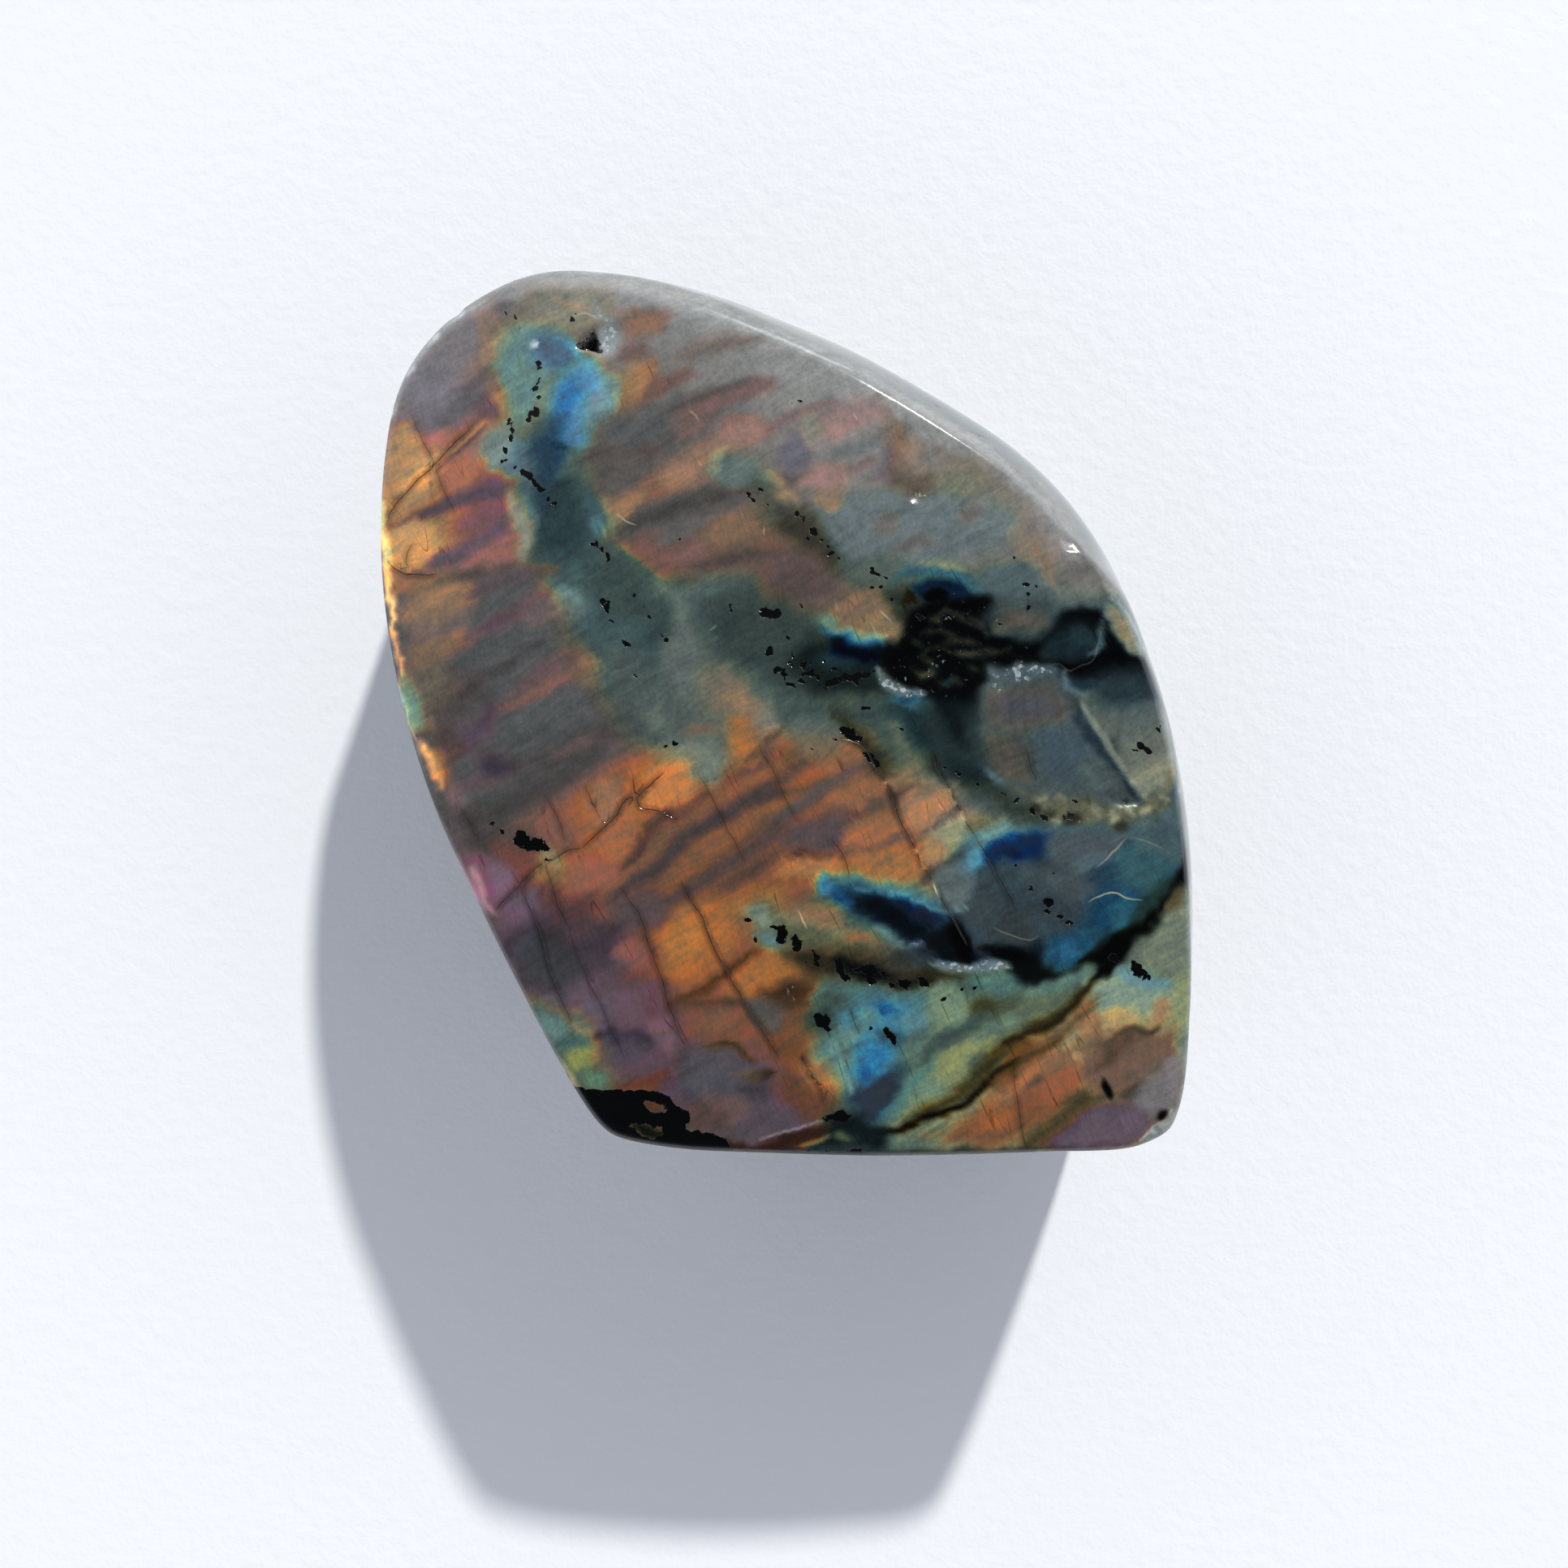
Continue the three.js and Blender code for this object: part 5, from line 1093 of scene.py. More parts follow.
# Black crystals: small magnetite and ilmenite grains, strung along old seams, from the smallest up.
for size, grains in [(.15, [(-11.2,15), (14.9,-30.7), (4.2,-5.3), (11.6,-5.1), (32.4,-11.4), (8,9.8),
     (22,13), (17.8,-29.6)]),
    (.2, [(-26,31.8), (-15.3,.2), (-7.4,8.4), (-2.3,5.6), (-11.9,-4.8), (-37,-5), (35.9,-5), (23.3,9.5),
     (24.2,10), (10.6,-4.2), (18.2,-9.8), (33,-11.2), (22,-17.6), (1.2,16.8), (.4,15), (7,11.9), (8.8,9.7),
     (10,8.6), (.2,28.6), (-5.4,7.7), (-4.8,5.2), (-2,4.2), (1,8), (3.4,.6), (2.6,4.2), (23.4,9.2),
     (-22.2,38.9), (2.1,-6.3), (-19.4,9.6), (-19,8.8), (-15.8,8.7), (-14.4,8), (16.6,-29.8), (15.4,-30.4)]),
    (.22, [(-27.8,37.6), (-20.8,15)]),
    (.25, [(-18.3,8.6), (-18.4,7.7), (-15.6,9.3), (-14,6.9), (-12.8,5.2), (-16.9,3.8), (-3.8,18.7),
     (-3,19.9), (-24,-17.3), (13.3,-29.4), (4.6,-4.7), (15.2,-7.9), (20.8,-10.6), (22.2,-11.2), (26.8,-12.9),
     (24.2,-20.4), (25.6,-18.5), (2.9,14.8), (3.6,14.2), (4.9,12.8), (8.6,11), (9.3,10.8), (.7,29.2),
     (.2,2.1), (3.2,2.3), (6.9,-2), (7.7,-2.2), (10.7,-4.4), (-12.4,4.6), (-17,4.2), (-11.1,-5.4),
     (-7.3,-9.4), (-5.3,-22)]),
    (.28, [(-28.5,38.7), (-18,6.6)]),
    (.3, [(-29.5,39.2), (-25.8,30), (-25.9,28.8), (-28.4,26.4), (-29.2,23.3), (-27.9,22.5), (-23.8,18.6),
     (-22.6,14.6), (-15.4,1), (-6.2,7.9), (-5,19.7), (-4.4,19.3), (-2.4,18.3), (-1.8,6.9), (-2,3.6), (-.4,5),
     (1.2,2.2), (-11.5,-5.5), (-28.8,-14.2), (2.6,-32.2), (7.9,-33.4), (11.1,-29.5), (33.9,-6.2),
     (36.6,-3.6), (6.7,-5.9), (16.4,-8.6), (27.8,-11.3), (.6,17.4), (1.7,15), (6.4,.2), (7.4,.8), (12.6,6.9),
     (23.2,10.2), (23.4,7.9), (-22.6,38.3), (-1.5,1.7), (.5,.2), (1.7,2.3), (1.3,1.5), (-.4,.5), (6.8,-5.2),
     (-18.6,8.1), (-13,5), (-12.5,-5.9), (-3.5,-24.8), (-4.4,-22.9)]),
    (.35, [(-26.3,31), (-26.9,27.6), (-28.6,25.6), (-29.1,24.4), (-27.2,22), (-24.4,19.2), (-1,1.9), (0,3),
     (7.8,-29), (9.8,-29.3), (10.9,-28.7), (35.3,-6.3), (36.4,-4.3), (-1.8,-23.7), (8.2,-7.5), (6,-4.2),
     (23.6,-19.9), (4,13.4), (4.4,1.6), (-.6,1.3), (2.7,.9), (-2.7,3.5)]),
    (.4, [(-28.7,27.3), (-25.8,20.8), (-25.2,20.2), (-16.4,4.3), (-2.6,7.2), (-29.7,-13.7), (-24.2,-16.9),
     (3.5,-33.5), (4.8,-26.9), (6.4,-27.8), (12.7,-29), (34.9,-28.3), (23.6,-12.3), (24.8,-12.7),
     (27.4,-12.6), (25,-22.1), (26.4,-22.7), (27.3,-23.3), (8,11.5), (5.4,.8), (1,.8), (2.2,-27.2),
     (9,-28.2), (12.9,-29)]),
    (.42, [(-26,33.6)]),
    (.45, [(8,-27.7), (5.6,-4.9), (2.2,15.6), (-3,7.7), (2,1.4)]),
    (.5, [(-26.3,28.3), (-26.4,21.6), (9.4,-34), (10.1,-34.6), (2.3,-26.5), (31.6,-26.7), (34.6,-5.9),
     (7.6,-6.9), (25.2,-21.2), (-1.5,7.4), (5.2,-4.3), (5.9,-4.9), (8.1,-7.3), (5.2,-28.6), (7.2,-27.8),
     (7.6,-28.7), (11.2,-29)]),
    (.6, [(-1,-24.2), (-.9,-24.4), (4.8,-27.6)]),
    (.65, [(3,-32.8)]),
    (.7, [(.4,-25)]),
    (.75, [(34,-27.8)])]:
    for x, y in grains:
        fleck(x, y, size * 1.3, size * 0.75, edge=.7, turn=-40 + 70 * grain(x, y, seed=40), ink=1)
stroke([(-20,15.4), (-19.2,14.2), (-18.4,12.9)], .7, edge=.5, ink=1)
stroke([(3,-.3), (4.6,.3), (6.6,1), (8.6,1.5)], .7, edge=.5, ink=.9)
spot(-25.6, -15.9, 1.6, .7, edge=.5, turn=-20, ink=1)
spot(-26.6, -15, .7, .6, edge=.5, ink=1)
# the pit near the upper left, painted black for the shadow inside it
flake([(-22,35.3), (-20.6,36.8), (-20,36.7), (-19.4,34.6), (-20.6,34.9)], edge=.5, ink=1)
for points, thick in [([(0,18), (2,16), (5,13.5), (8,11.5), (10,9)], 1),
    ([(-3.4,-21.4), (-1.6,-23.6), (.6,-25)], 1), ([(1,-27), (5,-27.5), (9,-28), (14,-28.5)], 1.2),
    ([(24,-20), (27,-22.5), (29,-24)], 1.2),
    ([(-30,38), (-26.5,33), (-28,26), (-26,20), (-20,15), (-15,6), (-16,2)], 6),
    ([(6,-21), (10,-24), (13,-25)], 2), ([(0,18), (4,13), (9,8), (3,5)], 7)]:
    stroke(points, thick, edge=thick / 2, specks=0.8 if thick < 3 else 0.65)
area([(-8,10), (-2,9), (2,6), (6,5), (9,2), (9,-2), (3,-1), (-3,0), (-7,3)], edge=3, specks=.7)
area([(9,0), (11,8), (18,10), (22,7), (25,4), (20,-2), (14,-6), (9,-4)], edge=2, specks=.85)
spot(-5, -22.5, 2, 1, specks=.8)
spot(4, -27, 5, 2, specks=.85)
spot(30, -27, 4, 2, turn=40, specks=.6)

# Hairline cracks along the cleavage. A crack whose darkness is less than nothing is a painted glint instead.
for dark, points in [
    (.95, [(-12.5,-8.3), (-14.6,-10.4), (-15.2,-10.9), (-16.4,-11.2), (-17.6,-13), (-19.8,-15),
           (-20.8,-15.9)]),
    (.6, [(-20.8,-15.9), (-22,-16.2), (-24,-17.4)]),
    (.85, [(-24,-17.4), (-25.4,-18), (-26.8,-19.6), (-28.2,-20.8), (-29.4,-22.2)]),
    (.7, [(-15.7,-8.6), (-15.4,-10.6), (-14.8,-12), (-13.4,-12.2), (-11,-13.2)]),
    (.55, [(-24.4,-17.6), (-23.6,-20), (-22.6,-22.6), (-21.8,-24)]),
    (.6, [(-28,-18), (-26.4,-20.8), (-25,-24.4), (-23.8,-28), (-21.6,-33.4)]),
    (.45, [(-22,-24), (-20.4,-28), (-18.6,-32), (-16.4,-37)]),
    (.6, [(-17,-19.6), (-15,-22.4), (-13.6,-26.4), (-12.4,-30), (-10.8,-34.8)]),
    (.9, [(-11,-19), (-9,-22.4), (-7.6,-25.8), (-5.5,-29.4), (-3,-33.6), (-1,-36.6)]),
    (.5, [(-24.4,-10.6), (-23,-13.4), (-22.4,-15.4)]), (.45, [(-20.4,-9.6), (-19,-13)]),
    (.95, [(4.4,-5), (6.8,-5.7), (8.1,-7.6), (9.6,-10), (10.4,-12.4), (11.6,-15), (12.5,-17), (13.4,-18.6)]),
    (.85, [(13.4,-18.6), (14.4,-20.2), (15.6,-22.4), (16.6,-24.4), (17.3,-25.6)]),
    (.8, [(13.8,-6.2), (14.3,-8), (15.2,-9.8), (16,-11.4), (17,-13.2), (18,-14.8)]),
    (.65, [(18,-14.8), (19,-16.6), (20.4,-19), (22,-21.8)]),
    (.5, [(-39.2,28.4), (-37.8,25.6), (-36.5,23), (-35.2,20), (-34,17.6)]),
    (.85, [(-41.6,16.6), (-40.8,18.6), (-38.6,21.2), (-36.8,22.8), (-34.6,25.2), (-32.6,27.2)]),
    (.8, [(-41.4,13.4), (-40.2,12.2), (-38.4,11.6), (-35.8,11.5)]),
    (.5, [(-38.5,15.2), (-39.2,13.6), (-38.8,12.2)]), (.4, [(-3.4,-5.6), (-1.6,-9), (.6,-13.4)]),
    (.5, [(3.4,-14.6), (5.2,-16.6), (5.6,-19)]), (.4, [(-9.4,-8), (-7,-12.6), (-4.4,-17.6)]),
    (.5, [(5.6,-31.4), (6.6,-34.2)]), (.4, [(17.8,-27.6), (18.6,-30)]),
    (.9, [(1,-36), (1.8,-37.8), (2.8,-39.4), (3.1,-40.8)]), (.4, [(16.8,-29), (17.4,-31.4)]),
    (.5, [(21.6,-36.4), (21.9,-39.4), (22.4,-42.6), (23.1,-45.6)]), (.35, [(11.8,-39), (12.6,-41.6)]),
    (.35, [(.6,-36.2), (2.4,-38.4), (4.6,-40.8)]), (.45, [(-33,-12), (-31,-15.2)]),
    (.5, [(23,-6), (24.2,-9.4)]), (-.7, [(9.2,-9.2), (9.5,-10)]),
    (-.9, [(12.1,-15.9), (12.5,-17), (13,-17.8)]), (-1, [(13.8,-19.2), (14.3,-20.1), (14.8,-21)]),
    (-.8, [(15.3,-10.2), (15.7,-11), (16,-11.5)]), (-.7, [(16.5,-12.5), (16.9,-13.2)]),
    (-.5, [(14.2,-11.5), (14.7,-12.1)]), (-.6, [(.7,-21.8), (1.5,-23.8)]),
    (-.45, [(29.8,-17.9), (31.4,-16.4), (33.2,-14.8)]),
    (-.6, [(29,-21.3), (30.2,-20.6), (31.6,-20.3), (33.2,-20.9), (34.6,-21.2)]),
    (-.35, [(19.6,-23.4), (21.6,-24.4), (23.4,-24.7), (24.2,-24.2)]),
    (-.3, [(33.4,-14.9), (35,-15.2), (36.8,-16)]),
    (-.3, [(25.4,2.1), (26.6,2.2), (27.6,1.5), (28.6,2.1), (29.8,2.7), (30.2,4.2), (30.9,5.8)]),
    (-.4, [(-10.4,28.4), (-9.9,27.9), (-9.4,27)]), (-.4, [(-9.6,23.3), (-9,22.3)]),
    (-.5, [(-17.6,17.7), (-16.6,16.8), (-15.4,16.3)]), (-.4, [(-8.4,5.7), (-7.4,6.3)]),
    (-.4, [(-2.8,16.4), (-2.6,15.1)]), (-.5, [(8.6,7.6), (9.8,6.5)]), (-.35, [(7.7,6.4), (8.6,4.8)]),
    (-.3, [(4.3,8.7), (4.7,7.5)]), (-.4, [(6.2,28), (6.7,27.2)]),
    (-.4, [(-22.6,38.6), (-21.2,39), (-19.6,38.2)])]:
    crack(points, dark)

# The left edge, where a painted glow stands for light passing through the thin rim, and the broken ground.
for x0, y0, x1, y1, wide, hue, strength in [(-42.2,18.6,-42,16.6,.6,.44,.8),
    (-41.9,16.4,-41.5,12.6,1.1,.545,1.1), (-41.6,12,-41.1,8.8,.8,.58,1.2), (-41.1,9.4,-40.4,5.6,.8,.575,1.3),
    (-40.4,5.4,-39.5,1.6,.5,.65,.7), (-39.8,.4,-37.9,-4.4,.9,.39,.7), (-37.2,-6,-35.9,-8.4,.9,.6,1),
    (-36.3,-8,-35.3,-9.8,.7,.67,.75), (-34.4,-17,-31.6,-21.4,1.2,.92,.45)]:
    stroke([(x0,y0), ((x0 + x1) / 2 + 0.1,(y0 + y1) / 2), (x1,y1)], wide, (.58,.85,hue), .8, taper=.3,
        glow=strength)
area([(-39.6,1.4), (-38.4,.6), (-36.6,-2.6), (-37,-4.4), (-38,-3.6), (-39,-.8)], (.5,.6,.38), 1.2)
area([(-36.6,-6.2), (-35,-6.6), (-34.4,-8.8), (-35.2,-9.8), (-36.2,-8.4)], (.44,.75,.64), 1)

# Pocket, cleaved patch, pit and chips, in millimetres below the polish.
area([(12,5.6), (14.6,7.4), (18.8,8), (19.8,6), (23,4.4), (26,3), (20,2), (15,0), (12,.6), (10.6,3)],
    edge=3.2, depth=.32, rough=.12)
area([(19,.6), (23,1.4), (27.6,.4), (30,-4), (32.6,-8), (34.8,-11), (30,-12.6), (25,-11.6), (21,-9.4),
    (19,-4)], edge=3, depth=.3, rough=.15)
flake([(27.6,-1), (29.6,-4.6), (32.4,-8.6), (34.6,-11.2), (31.6,-11.4), (29,-8), (27,-4)], edge=1, depth=.42)
flake([(28.4,-1), (30.4,-4), (33,-8), (35.2,-11.2), (38,-9), (38,-3), (35,-1)], edge=.5, depth=.12, rough=.1)
flake([(-21.8,35.4), (-20.4,36.8), (-19.9,36.6), (-19.5,34.8), (-20.6,35)], edge=.5, depth=1.3)
fleck(-18.9, 36, 1.3, 1.6, edge=.5, turn=-10, depth=.35, rough=.8)
for x, y, size in [(-29,41.5,.8), (-35,39.5,.5), (-41.6,28.6,.35), (12.5,19.3,.6), (27.5,14.5,.8),
    (36.2,-43.6,.5)]:
    spot(x, y, size, edge=.6, depth=size * 0.4, rough=.8)
# painted glints and pale crumbs on the broken places
fleck(-18.9, 36.2, 1.2, 1.7, -10, (.55,0), .4, glitter=.75)
stroke([(-20.6,40.4), (-20,38.6), (-18.6,38)], .4, (.55,0), .5, glitter=.6)
fleck(-26.6, 35.7, .5, .45, 0, (.7,0), .4, glitter=1)
scratch([(8.5,1.8), (8.9,.9), (10.2,0), (11.6,-.5), (13.2,-.7)], 1.1, (.42,.12), .5, glitter=.9)
stroke([(9.9,-.8), (11,-1.4), (12.8,-1.4)], .8, (.3,.9,.19), .7)
spot(0, -30.1, 1.6, .6, glitter=.5)
spot(12, -24.9, 1, .4, turn=10, glitter=.6, light=.4)
area([(19,2.2), (21,1.4), (22.4,2.2), (25.8,1.8), (25.8,.8), (21.8,.2), (20.2,-1.2), (19.4,-.6)], (.36,.2),
    .7, glitter=.62)
stroke([(27,1.2), (27.8,.2), (28.6,-1)], .7, edge=.6, glitter=.45, light=.4)
stroke([(28.8,3), (30.2,4.4), (30.8,6.6)], .7, edge=.6, glitter=.45, light=.34)
for points, thick in [([(13.6,5.6), (15,6.8), (16,7)], 1), ([(12.6,4.7), (13.8,4.6)], .6),
    ([(16.2,5.1), (17.4,5.4)], .5), ([(14.2,3.3), (15.8,3.4)], .5),
    ([(13.2,1.9), (14.6,2.5), (15.6,2.1)], .9), ([(17.8,3.9), (18.8,3.5), (19.6,2.5)], .8),
    ([(18.6,6.2), (19.4,4.8)], .5), ([(15.2,.5), (16.4,.8)], .5), ([(21.6,6.8), (20.4,6.2)], .8),
    ([(22,3.4), (23.4,3.2)], .5), ([(11.2,1.8), (11.8,1)], .7)]:
    stroke(points, thick, edge=.5, taper=.4, glitter=.66)
stroke([(19,-8.8), (20.2,-9.2), (21,-10)], .8, edge=.6, glitter=.5)
stroke([(25,-12.8), (29,-13.2), (33,-12.6), (36,-12)], 1.2, edge=1, glitter=.36, rough=.5)
flake([(13.3,-27), (15,-26.8), (17,-27.2), (19.4,-26.6), (21.6,-27.6), (18,-28), (15,-27.8)], (.46,.2),
    .5, glitter=.8, ink=0)
stroke([(26.2,15.4), (27.4,14.2), (28.4,13)], 1.2, edge=.9, glitter=.55, light=.52)
spot(12.5, 19.3, 1.2, .9, glitter=.7)
spot(36.4, -43.3, 1.2, .5, 45, (.55,.05), glitter=.6)

# The sides and the back are polished too. The face's zones die out raggedly a few millimetres down the
# wall, and below them the feldspar is cloudy grey with faint colour and a few black grains.
x, y, z = places.T
cloud = grain(x / 13, y / 13, z / 9, seed=50)
cloud2 = grain(x / 5, y / 5, z / 4, seed=51)
below = face_level(x, y) - z
tatter = 1.6 * grain(x / 3, y / 3, z / 3, seed=55) + 0.9 * grain(x, y, z, seed=56)
sunk = eased(1.6, 5.4, below + tatter * eased(0.8, 2.2, below))
side_pattern = {
    "hue": 0.40 + 0.30 * cloud + 0.08 * cloud2,
    "flash": 0.10 + 0.45 * eased(0.15, 0.6, grain(x / 16, y / 16, z / 8, seed=52)),
    "light": 0.40 + 0.05 * cloud2 + 0.05 * cloud,
    "ink": 0.9 * eased(0.5, 0.66, 0.7 * grain(x / 2.6, y / 2.6, z / 2, seed=53) + 0.16 * tatter)
           * eased(0.0, 0.3, grain(x / 15, y / 15, z / 15, seed=54)),
    "specks": 0.25 + 0.3 * cloud,
}
for name, field in side_pattern.items():
    layer = getattr(pattern, name)
    layer += (field - layer) * sunk
pattern.ink *= 1 - 0.8 * eased(0.9, 2.6, below + 0.5 * tatter) * (1 - sunk)
pattern.glitter *= 1 - sunk
pattern.dark *= 1 - eased(2, 7, below)

# The polish follows the hand, so it is never quite flat, and the broken places lie below it. Its waves
# are a tenth of a millimetre deep, and the back stays flat.
POLISH_WAVE = 0.10
BACK_TOP = 0.5

normals = np.empty(len(stone.data.vertices) * 3)
stone.data.vertices.foreach_get("normal", normals)
normals = normals.reshape(-1, 3)
waves = 0.5 + 0.35 * grain(x / 11, y / 11, z / 11, seed=60) + 0.15 * grain(x / 4, y / 4, z / 4, seed=61)
crumble = pattern.rough * (0.12 * grain(x / 1.6, y / 1.6, seed=62) + 0.06 * grain(x / 0.7, y / 0.7, seed=63))
inward = POLISH_WAVE * waves + np.clip(pattern.depth * (1 - sunk) + crumble * (1 - sunk), 0, None)
inward[z < BACK_TOP] = 0
places = places - normals * inward[:, None]
stone.data.vertices.foreach_set("co", (places * MM).ravel())
stone.data.update()

for name, layers in [("flash", (pattern.hue, pattern.flash, pattern.light)),
                     ("breaks", (pattern.ink, pattern.specks, pattern.glitter)),
                     ("seams", (pattern.side, pattern.gap, pattern.dark)),
                     ("finish_and_glow", (pattern.rough, pattern.glow, sunk))]:
    stored = stone.data.attributes.new(name, "FLOAT_VECTOR", "POINT")
    stored.data.foreach_set("vector", np.stack(layers, -1).astype(np.float32).ravel())

bpy.ops.object.shade_smooth()


# The stone's material. It reads the fields kept at the mesh's points and adds what is too fine for them:
# bands, streaks, cleavage lines, specks and polish marks. Lengths in it are millimetres.
class Shade:
    """A socket of a material, so that sums over the surface are written as sums."""

    tree = None

    def __init__(self, socket):
        self.socket = socket

    @classmethod
    def node(cls, kind, settings=None, inputs=None, output=0):
        """Adds a node, sets it up, then joins or sets its sockets."""
        made = cls.tree.nodes.new(kind)
        for name, value in (settings or {}).items():
            if name == "stops":
                ramp = made.color_ramp
                while len(ramp.elements) > 1:
                    ramp.elements.remove(ramp.elements[-1])
                for index, (place, colour) in enumerate(value):
                    stop = ramp.elements[0] if index == 0 else ramp.elements.new(place)
                    stop.position = place
                    stop.color = (*[c / 255 for c in colour], 1)
            else:
                setattr(made, name, value)
        for name, value in (inputs or {}).items():
            if isinstance(value, Shade):
                cls.tree.links.new(value.socket, made.inputs[name])
            else:
                made.inputs[name].default_value = value
        return cls(made.outputs[output] if len(made.outputs) else None)

    def maths(self, operation, first, second):
        """A sum of two numbers."""
        return Shade.node("ShaderNodeMath", {"operation": operation}, {0: first, 1: second})

    def __add__(self, other):
        return self.maths("ADD", self, other)

    def __radd__(self, other):
        return self.maths("ADD", other, self)

    def __sub__(self, other):
        return self.maths("SUBTRACT", self, other)

    def __rsub__(self, other):
        return self.maths("SUBTRACT", other, self)

    def __mul__(self, other):
        return self.maths("MULTIPLY", self, other)

    def __rmul__(self, other):
        return self.maths("MULTIPLY", other, self)

    def __abs__(self):
        return Shade.node("ShaderNodeMath", {"operation": "ABSOLUTE"}, {0: self})

    def rise(self, low, high):
        """0 below low and 1 above high, or the other way round when low is the larger."""
        return Shade.node("ShaderNodeMapRange", {"interpolation_type": "SMOOTHSTEP"},
                          {"Value": self, "From Min": low, "From Max": high})

    def parts(self):
        """The three numbers of a vector."""
        split = Shade.node("ShaderNodeSeparateXYZ", None, {0: self}).socket.node
        return [Shade(socket) for socket in split.outputs]

    def scaled(self, amount):
        """This colour or place times a number."""
        return Shade.node("ShaderNodeVectorMath", {"operation": "SCALE"}, {"Vector": self, "Scale": amount})

    def moved(self, other):
        """This place moved by another."""
        return Shade.node("ShaderNodeVectorMath", {"operation": "ADD"}, {0: self, 1: other})

    def toward(self, colour, amount):
        """Mixes this colour toward another."""
        return Shade.node("ShaderNodeMix", {"data_type": "RGBA"}, {0: amount, 6: self, 7: colour}, output=2)


NOISE_SPREAD = 3.6


def noise(place, turn, scale, detail=2.0, rough=0.5):
    """Noise from about -1 to 1, stretched by its scale along and across a turned direction."""
    laid = Shade.node("ShaderNodeMapping", {"vector_type": "TEXTURE"},
                      {"Vector": place, "Rotation": (0, 0, math.radians(turn)),
                       "Scale": [1 / s for s in scale]})
    value = Shade.node("ShaderNodeTexNoise", None,
                       {"Vector": laid, "Scale": 1.0, "Detail": detail, "Roughness": rough})
    return (value - 0.5) * NOISE_SPREAD


def kept(name):
    """A field kept on the mesh, as its three numbers."""
    return Shade.node("ShaderNodeAttribute", {"attribute_name": name}, output=1).parts()


# The flash's colours in their own order, from deep blue to purple. Each has its place from 0 to 1 and
# its red, green and blue out of 255.
FLASH_COLOURS = [(0, (20, 26, 62)), (.09, (20, 56, 106)), (.17, (46, 106, 152)), (.25, (72, 140, 160)),
                 (.33, (86, 144, 144)), (.42, (112, 150, 116)), (.50, (146, 150, 88)), (.56, (175, 145, 82)),
                 (.63, (180, 125, 68)), (.70, (178, 109, 64)), (.78, (162, 90, 70)), (.86, (142, 84, 90)),
                 (.93, (122, 77, 104)), (1.0, (98, 80, 110))]
BODY_GREY = (.434, .464, .464, 1)
CRACK_BROWN = (0.09, 0.07, 0.055, 1)
CRACK_GLINT_CREAM = (0.86, 0.78, 0.62, 1)
CRYSTAL_AND_SHADE_BLACK = (0.035, 0.04, 0.04, 1)
CRUMB_AND_GLINT_WHITE = (.74, .76, .76, 1)
FULL_LIGHT = 0.45
TONE_GAMMA = 2.4
REFRACTIVE_INDEX = 1.56
GLOW_STRENGTH = 0.9
HAIR_DEGREES = 104
CLEAVAGE_DEGREES = -66

polish = bpy.data.materials.new("polished_labradorite")
polish.use_nodes = True
polish.node_tree.nodes.clear()
Shade.tree = polish.node_tree
place = Shade.node("ShaderNodeTexCoord", None, None, output=3).scaled(1 / MM)
hue, flash, light = kept("flash")
ink, specks, glitter = kept("breaks")
side, gap, dark = kept("seams")
rough, glow, _ = kept("finish_and_glow")

sway = Shade.node("ShaderNodeTexNoise", None, {"Vector": place, "Scale": 0.16, "Detail": 2.0}, output=1)
swayed = place.moved(sway.scaled(3.0))
streaks = noise(swayed, BAND_DEGREES, (0.12, 1.1, 0.3))
fine_streaks = noise(swayed, BAND_DEGREES, (0.24, 2.8, 0.8))
blotches = noise(place, 0, (0.55, 0.55, 0.55), detail=3.0, rough=0.6)
mottle = noise(place, 0, (2.2, 2.2, 2.2), detail=3.0, rough=0.6)
hairs = noise(swayed, HAIR_DEGREES, (0.22, 4.5, 1.0), detail=1.0)
bands = streaks * 0.55 + fine_streaks * 0.45

tint = hue + bands * 0.022 + blotches * 0.025 + mottle * 0.009
shown = flash * (1 + 0.34 * bands + 0.22 * blotches + 0.10 * mottle)
bright = light * (1 + 0.10 * bands + 0.10 * blotches + 0.045 * mottle + 0.03 * hairs)
colour = Shade.node("ShaderNodeMix", {"data_type": "RGBA"}, {
    0: shown,
    6: BODY_GREY,
    7: Shade.node("ShaderNodeValToRGB", {"stops": FLASH_COLOURS}, {"Fac": tint}),
}, output=2).scaled(bright * (1 / FULL_LIGHT))

# Thin cleavage lines run across the bands everywhere; the larger cracks are kept on the mesh. A crack whose
# darkness is less than nothing is a painted glint instead; beside the dark cracks lie painted shade and, on
# one side, a painted highlight.
cleave = noise(place, CLEAVAGE_DEGREES, (0.03, 0.36, 0.2), detail=1.0)
cleave_mask = abs(cleave + mottle * 0.004).rise(0.03, 0.008) * blotches.rise(-0.2, 0.5)
cleave_mask = cleave_mask * flash.rise(0.15, 0.6)
crack_line = abs(side + blotches * 0.04 + mottle * 0.02)
near_crack = gap.rise(0.6, 0.4)
crack_mask = crack_line.rise(0.085, 0.02) * near_crack * (0.55 + 0.45 * bands.rise(-0.7, 0.3))
dark_crack = crack_mask * dark.rise(0, 1)
lit_crack = crack_line.rise(0.13, 0.05) * near_crack * dark.rise(0, -1)
crack_shade = crack_line.rise(0.7, 0.05) * gap.rise(0.8, 0.5) * dark.rise(0, 1)
lit_side = (side + mottle * 0.03).rise(0.10, 0.16) * side.rise(0.32, 0.18)
lit_side = lit_side * gap.rise(0.6, 0.3) * dark.rise(0, 1)
lit_hairs = hairs.rise(1.25, 1.7) * mottle.rise(-0.6, 0.6)
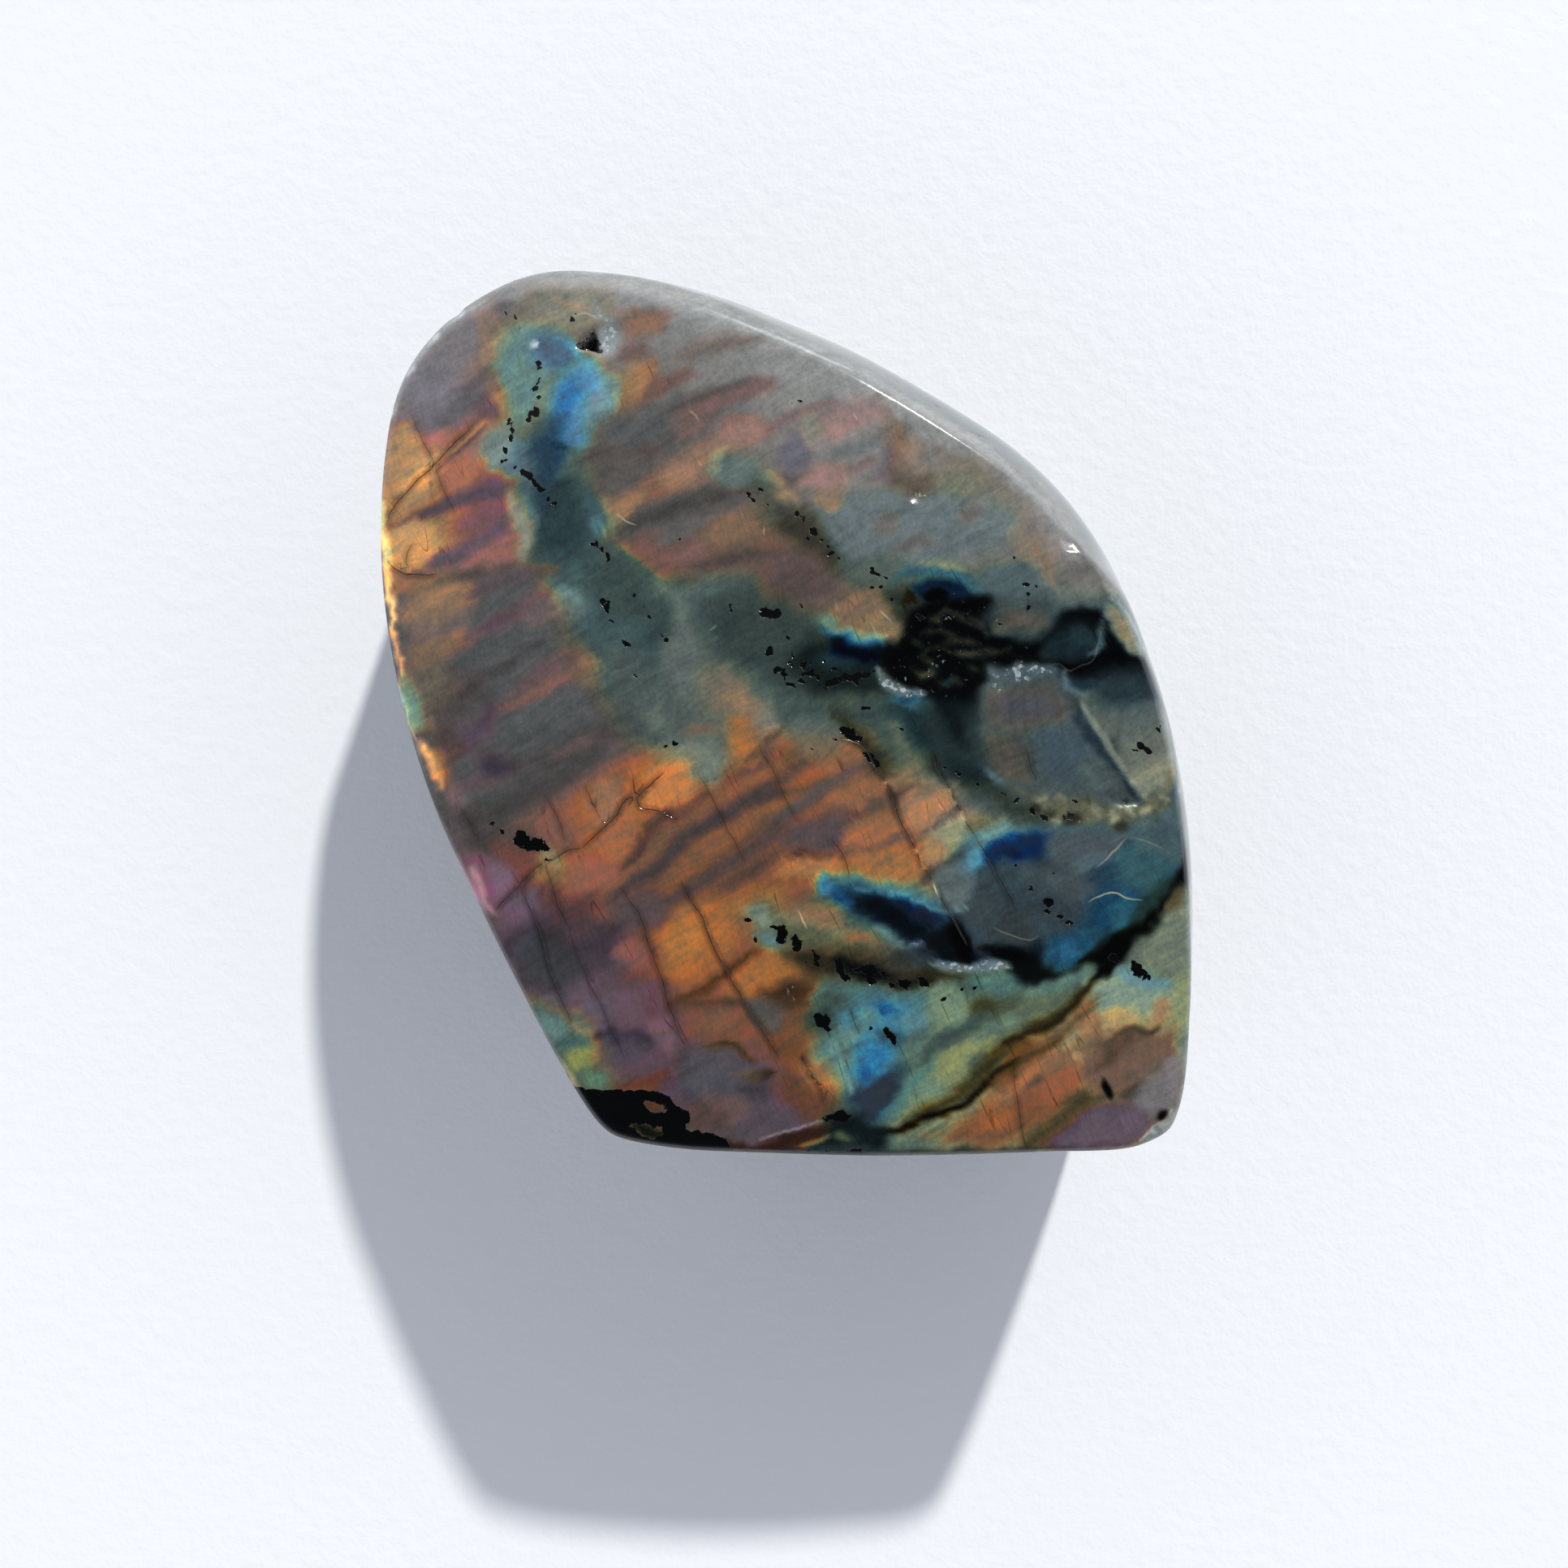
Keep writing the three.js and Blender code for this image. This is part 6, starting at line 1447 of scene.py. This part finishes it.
colour = colour.scaled((1 - 0.25 * cleave_mask) * (1 - 0.30 * crack_shade)
                       * (1 + 0.22 * lit_side * blotches.rise(0, 0.5)) * (1 + 0.22 * lit_hairs))
colour = colour.toward(CRACK_BROWN, dark_crack * 0.8)
colour = colour.toward(CRACK_GLINT_CREAM, lit_crack * 0.9)

# Black crystals and specks, with painted shade in the pit and along the foot of the face, and pale crumbs
# with painted glints where the polish has broken.
grit = noise(place, 20, (1.5, 1.5, 1.5), detail=3.0, rough=0.6)
crystal_and_shade = (ink + grit * 0.45).rise(0.52, 0.62)
speck = (grit + mottle * 0.5 + specks * 1.3).rise(1.75, 1.9)
black = Shade.node("ShaderNodeMath", {"operation": "MAXIMUM"}, {0: crystal_and_shade, 1: speck})
crumb = Shade.node("ShaderNodeTexVoronoi", None,
                   {"Vector": place.moved(sway.scaled(1.5)), "Scale": 2.6}, output=1).parts()[0]
crumbs_and_glints = (crumb + mottle * 0.25 + glitter * 0.8).rise(1.25, 1.5) * glitter.rise(0.02, 0.2)
colour = colour.toward(CRYSTAL_AND_SHADE_BLACK, black).toward(CRUMB_AND_GLINT_WHITE, crumbs_and_glints * 0.7)
albedo = Shade.node("ShaderNodeGamma", None, {"Color": colour, "Gamma": TONE_GAMMA})

gloss = 0.12 + 0.30 * rough + 0.15 * crumbs_and_glints + 0.10 * black + 0.02 * mottle
relief = mottle * 0.0012 + hairs * 0.0008 - dark_crack * 0.04 + rough * grit * 0.02 - black * 0.012
surface = Shade.node("ShaderNodeBump", None, {"Strength": 1.0, "Distance": MM, "Height": relief})
shader = Shade.node("ShaderNodeBsdfPrincipled", None, {
    "Base Color": albedo,
    "Roughness": gloss,
    "Normal": surface,
    "IOR": REFRACTIVE_INDEX,
    # painted glow: the left rim lights itself where light passes through it
    "Emission Color": albedo.scaled(glow),
    "Emission Strength": GLOW_STRENGTH,
})
Shade.node("ShaderNodeOutputMaterial", None, {"Surface": shader})
stone.data.materials.clear()
stone.data.materials.append(polish)
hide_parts("stone")
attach(stone, "root")

# The sheet of white paper that the stone lies on. It is much wider than the picture, so that no edge of it
# shows, and its tooth is a shallow bump.
PAPER_SIZE = 6
PAPER_WHITE = (0.89, 0.91, 0.93, 1)

bpy.ops.object.select_all(action="DESELECT")
bpy.ops.mesh.primitive_plane_add(size=PAPER_SIZE, location=(0, 0, 0))
floor = bpy.context.active_object
floor.name = "paper_sheet"
paper = bpy.data.materials.new("white_paper")
paper.use_nodes = True
paper.node_tree.nodes.clear()
Shade.tree = paper.node_tree
place = Shade.node("ShaderNodeTexCoord", None, None, output=3).scaled(1 / MM)
tooth = Shade.node("ShaderNodeTexNoise", None,
                   {"Vector": place, "Scale": 0.5, "Detail": 5.0, "Roughness": 0.6})
surface = Shade.node("ShaderNodeBump", None, {"Strength": 0.25, "Distance": MM, "Height": tooth * 0.4})
shader = Shade.node("ShaderNodeBsdfPrincipled", None, {
    "Base Color": PAPER_WHITE,
    "Roughness": 0.8,
    "Normal": surface,
})
Shade.node("ShaderNodeOutputMaterial", None, {"Surface": shader})
floor.data.materials.append(paper)

# The light: one soft key from the upper right, and a studio that is dark overhead.
SUN_WAY = (-0.531, -1.471, -1.0)
SUN_STRENGTH = 3.3
SUN_SPREAD = math.radians(2.5)
SUN_WARMTH = (1.0, 0.985, 0.955)
DARK_OVERHEAD = (.03, .032, .036, 1)
BRIGHT_SIDES = (1.25, 1.29, 1.45, 1)

key = bpy.data.lights.new("key", "SUN")
key.energy = SUN_STRENGTH
key.angle = SUN_SPREAD
key.color = SUN_WARMTH
key_object = bpy.data.objects.new("key", key)
bpy.context.collection.objects.link(key_object)
turn = mathutils.Vector(SUN_WAY).to_track_quat("-Z", "Y")
key_object.rotation_euler = turn.to_euler()

studio = bpy.data.worlds.new("studio")
studio.use_nodes = True
studio.node_tree.nodes.clear()
Shade.tree = studio.node_tree
height = Shade.node("ShaderNodeTexCoord", None, None, output=0).parts()[2]
fill = height.rise(0.86, 0.35)
sky = Shade.node("ShaderNodeMix", {"data_type": "RGBA"},
                 {0: fill, 6: DARK_OVERHEAD, 7: BRIGHT_SIDES}, output=2)
backdrop = Shade.node("ShaderNodeBackground", None, {"Color": sky})
Shade.node("ShaderNodeOutputWorld", None, {"Surface": backdrop})
bpy.context.scene.world = studio

# The camera looks straight down on the face, from close above.
LENS = 36.09
SENSOR = 36
CAMERA_PLACE = (-0.00075, -0.00957, 0.192)

view = bpy.data.cameras.new("camera")
view.lens = LENS
view.sensor_width = SENSOR
view.clip_start = 0.01
camera = bpy.data.objects.new("camera", view)
camera.location = CAMERA_PLACE
bpy.context.collection.objects.link(camera)
bpy.context.scene.camera = camera
bpy.context.scene.view_settings.view_transform = "Standard"
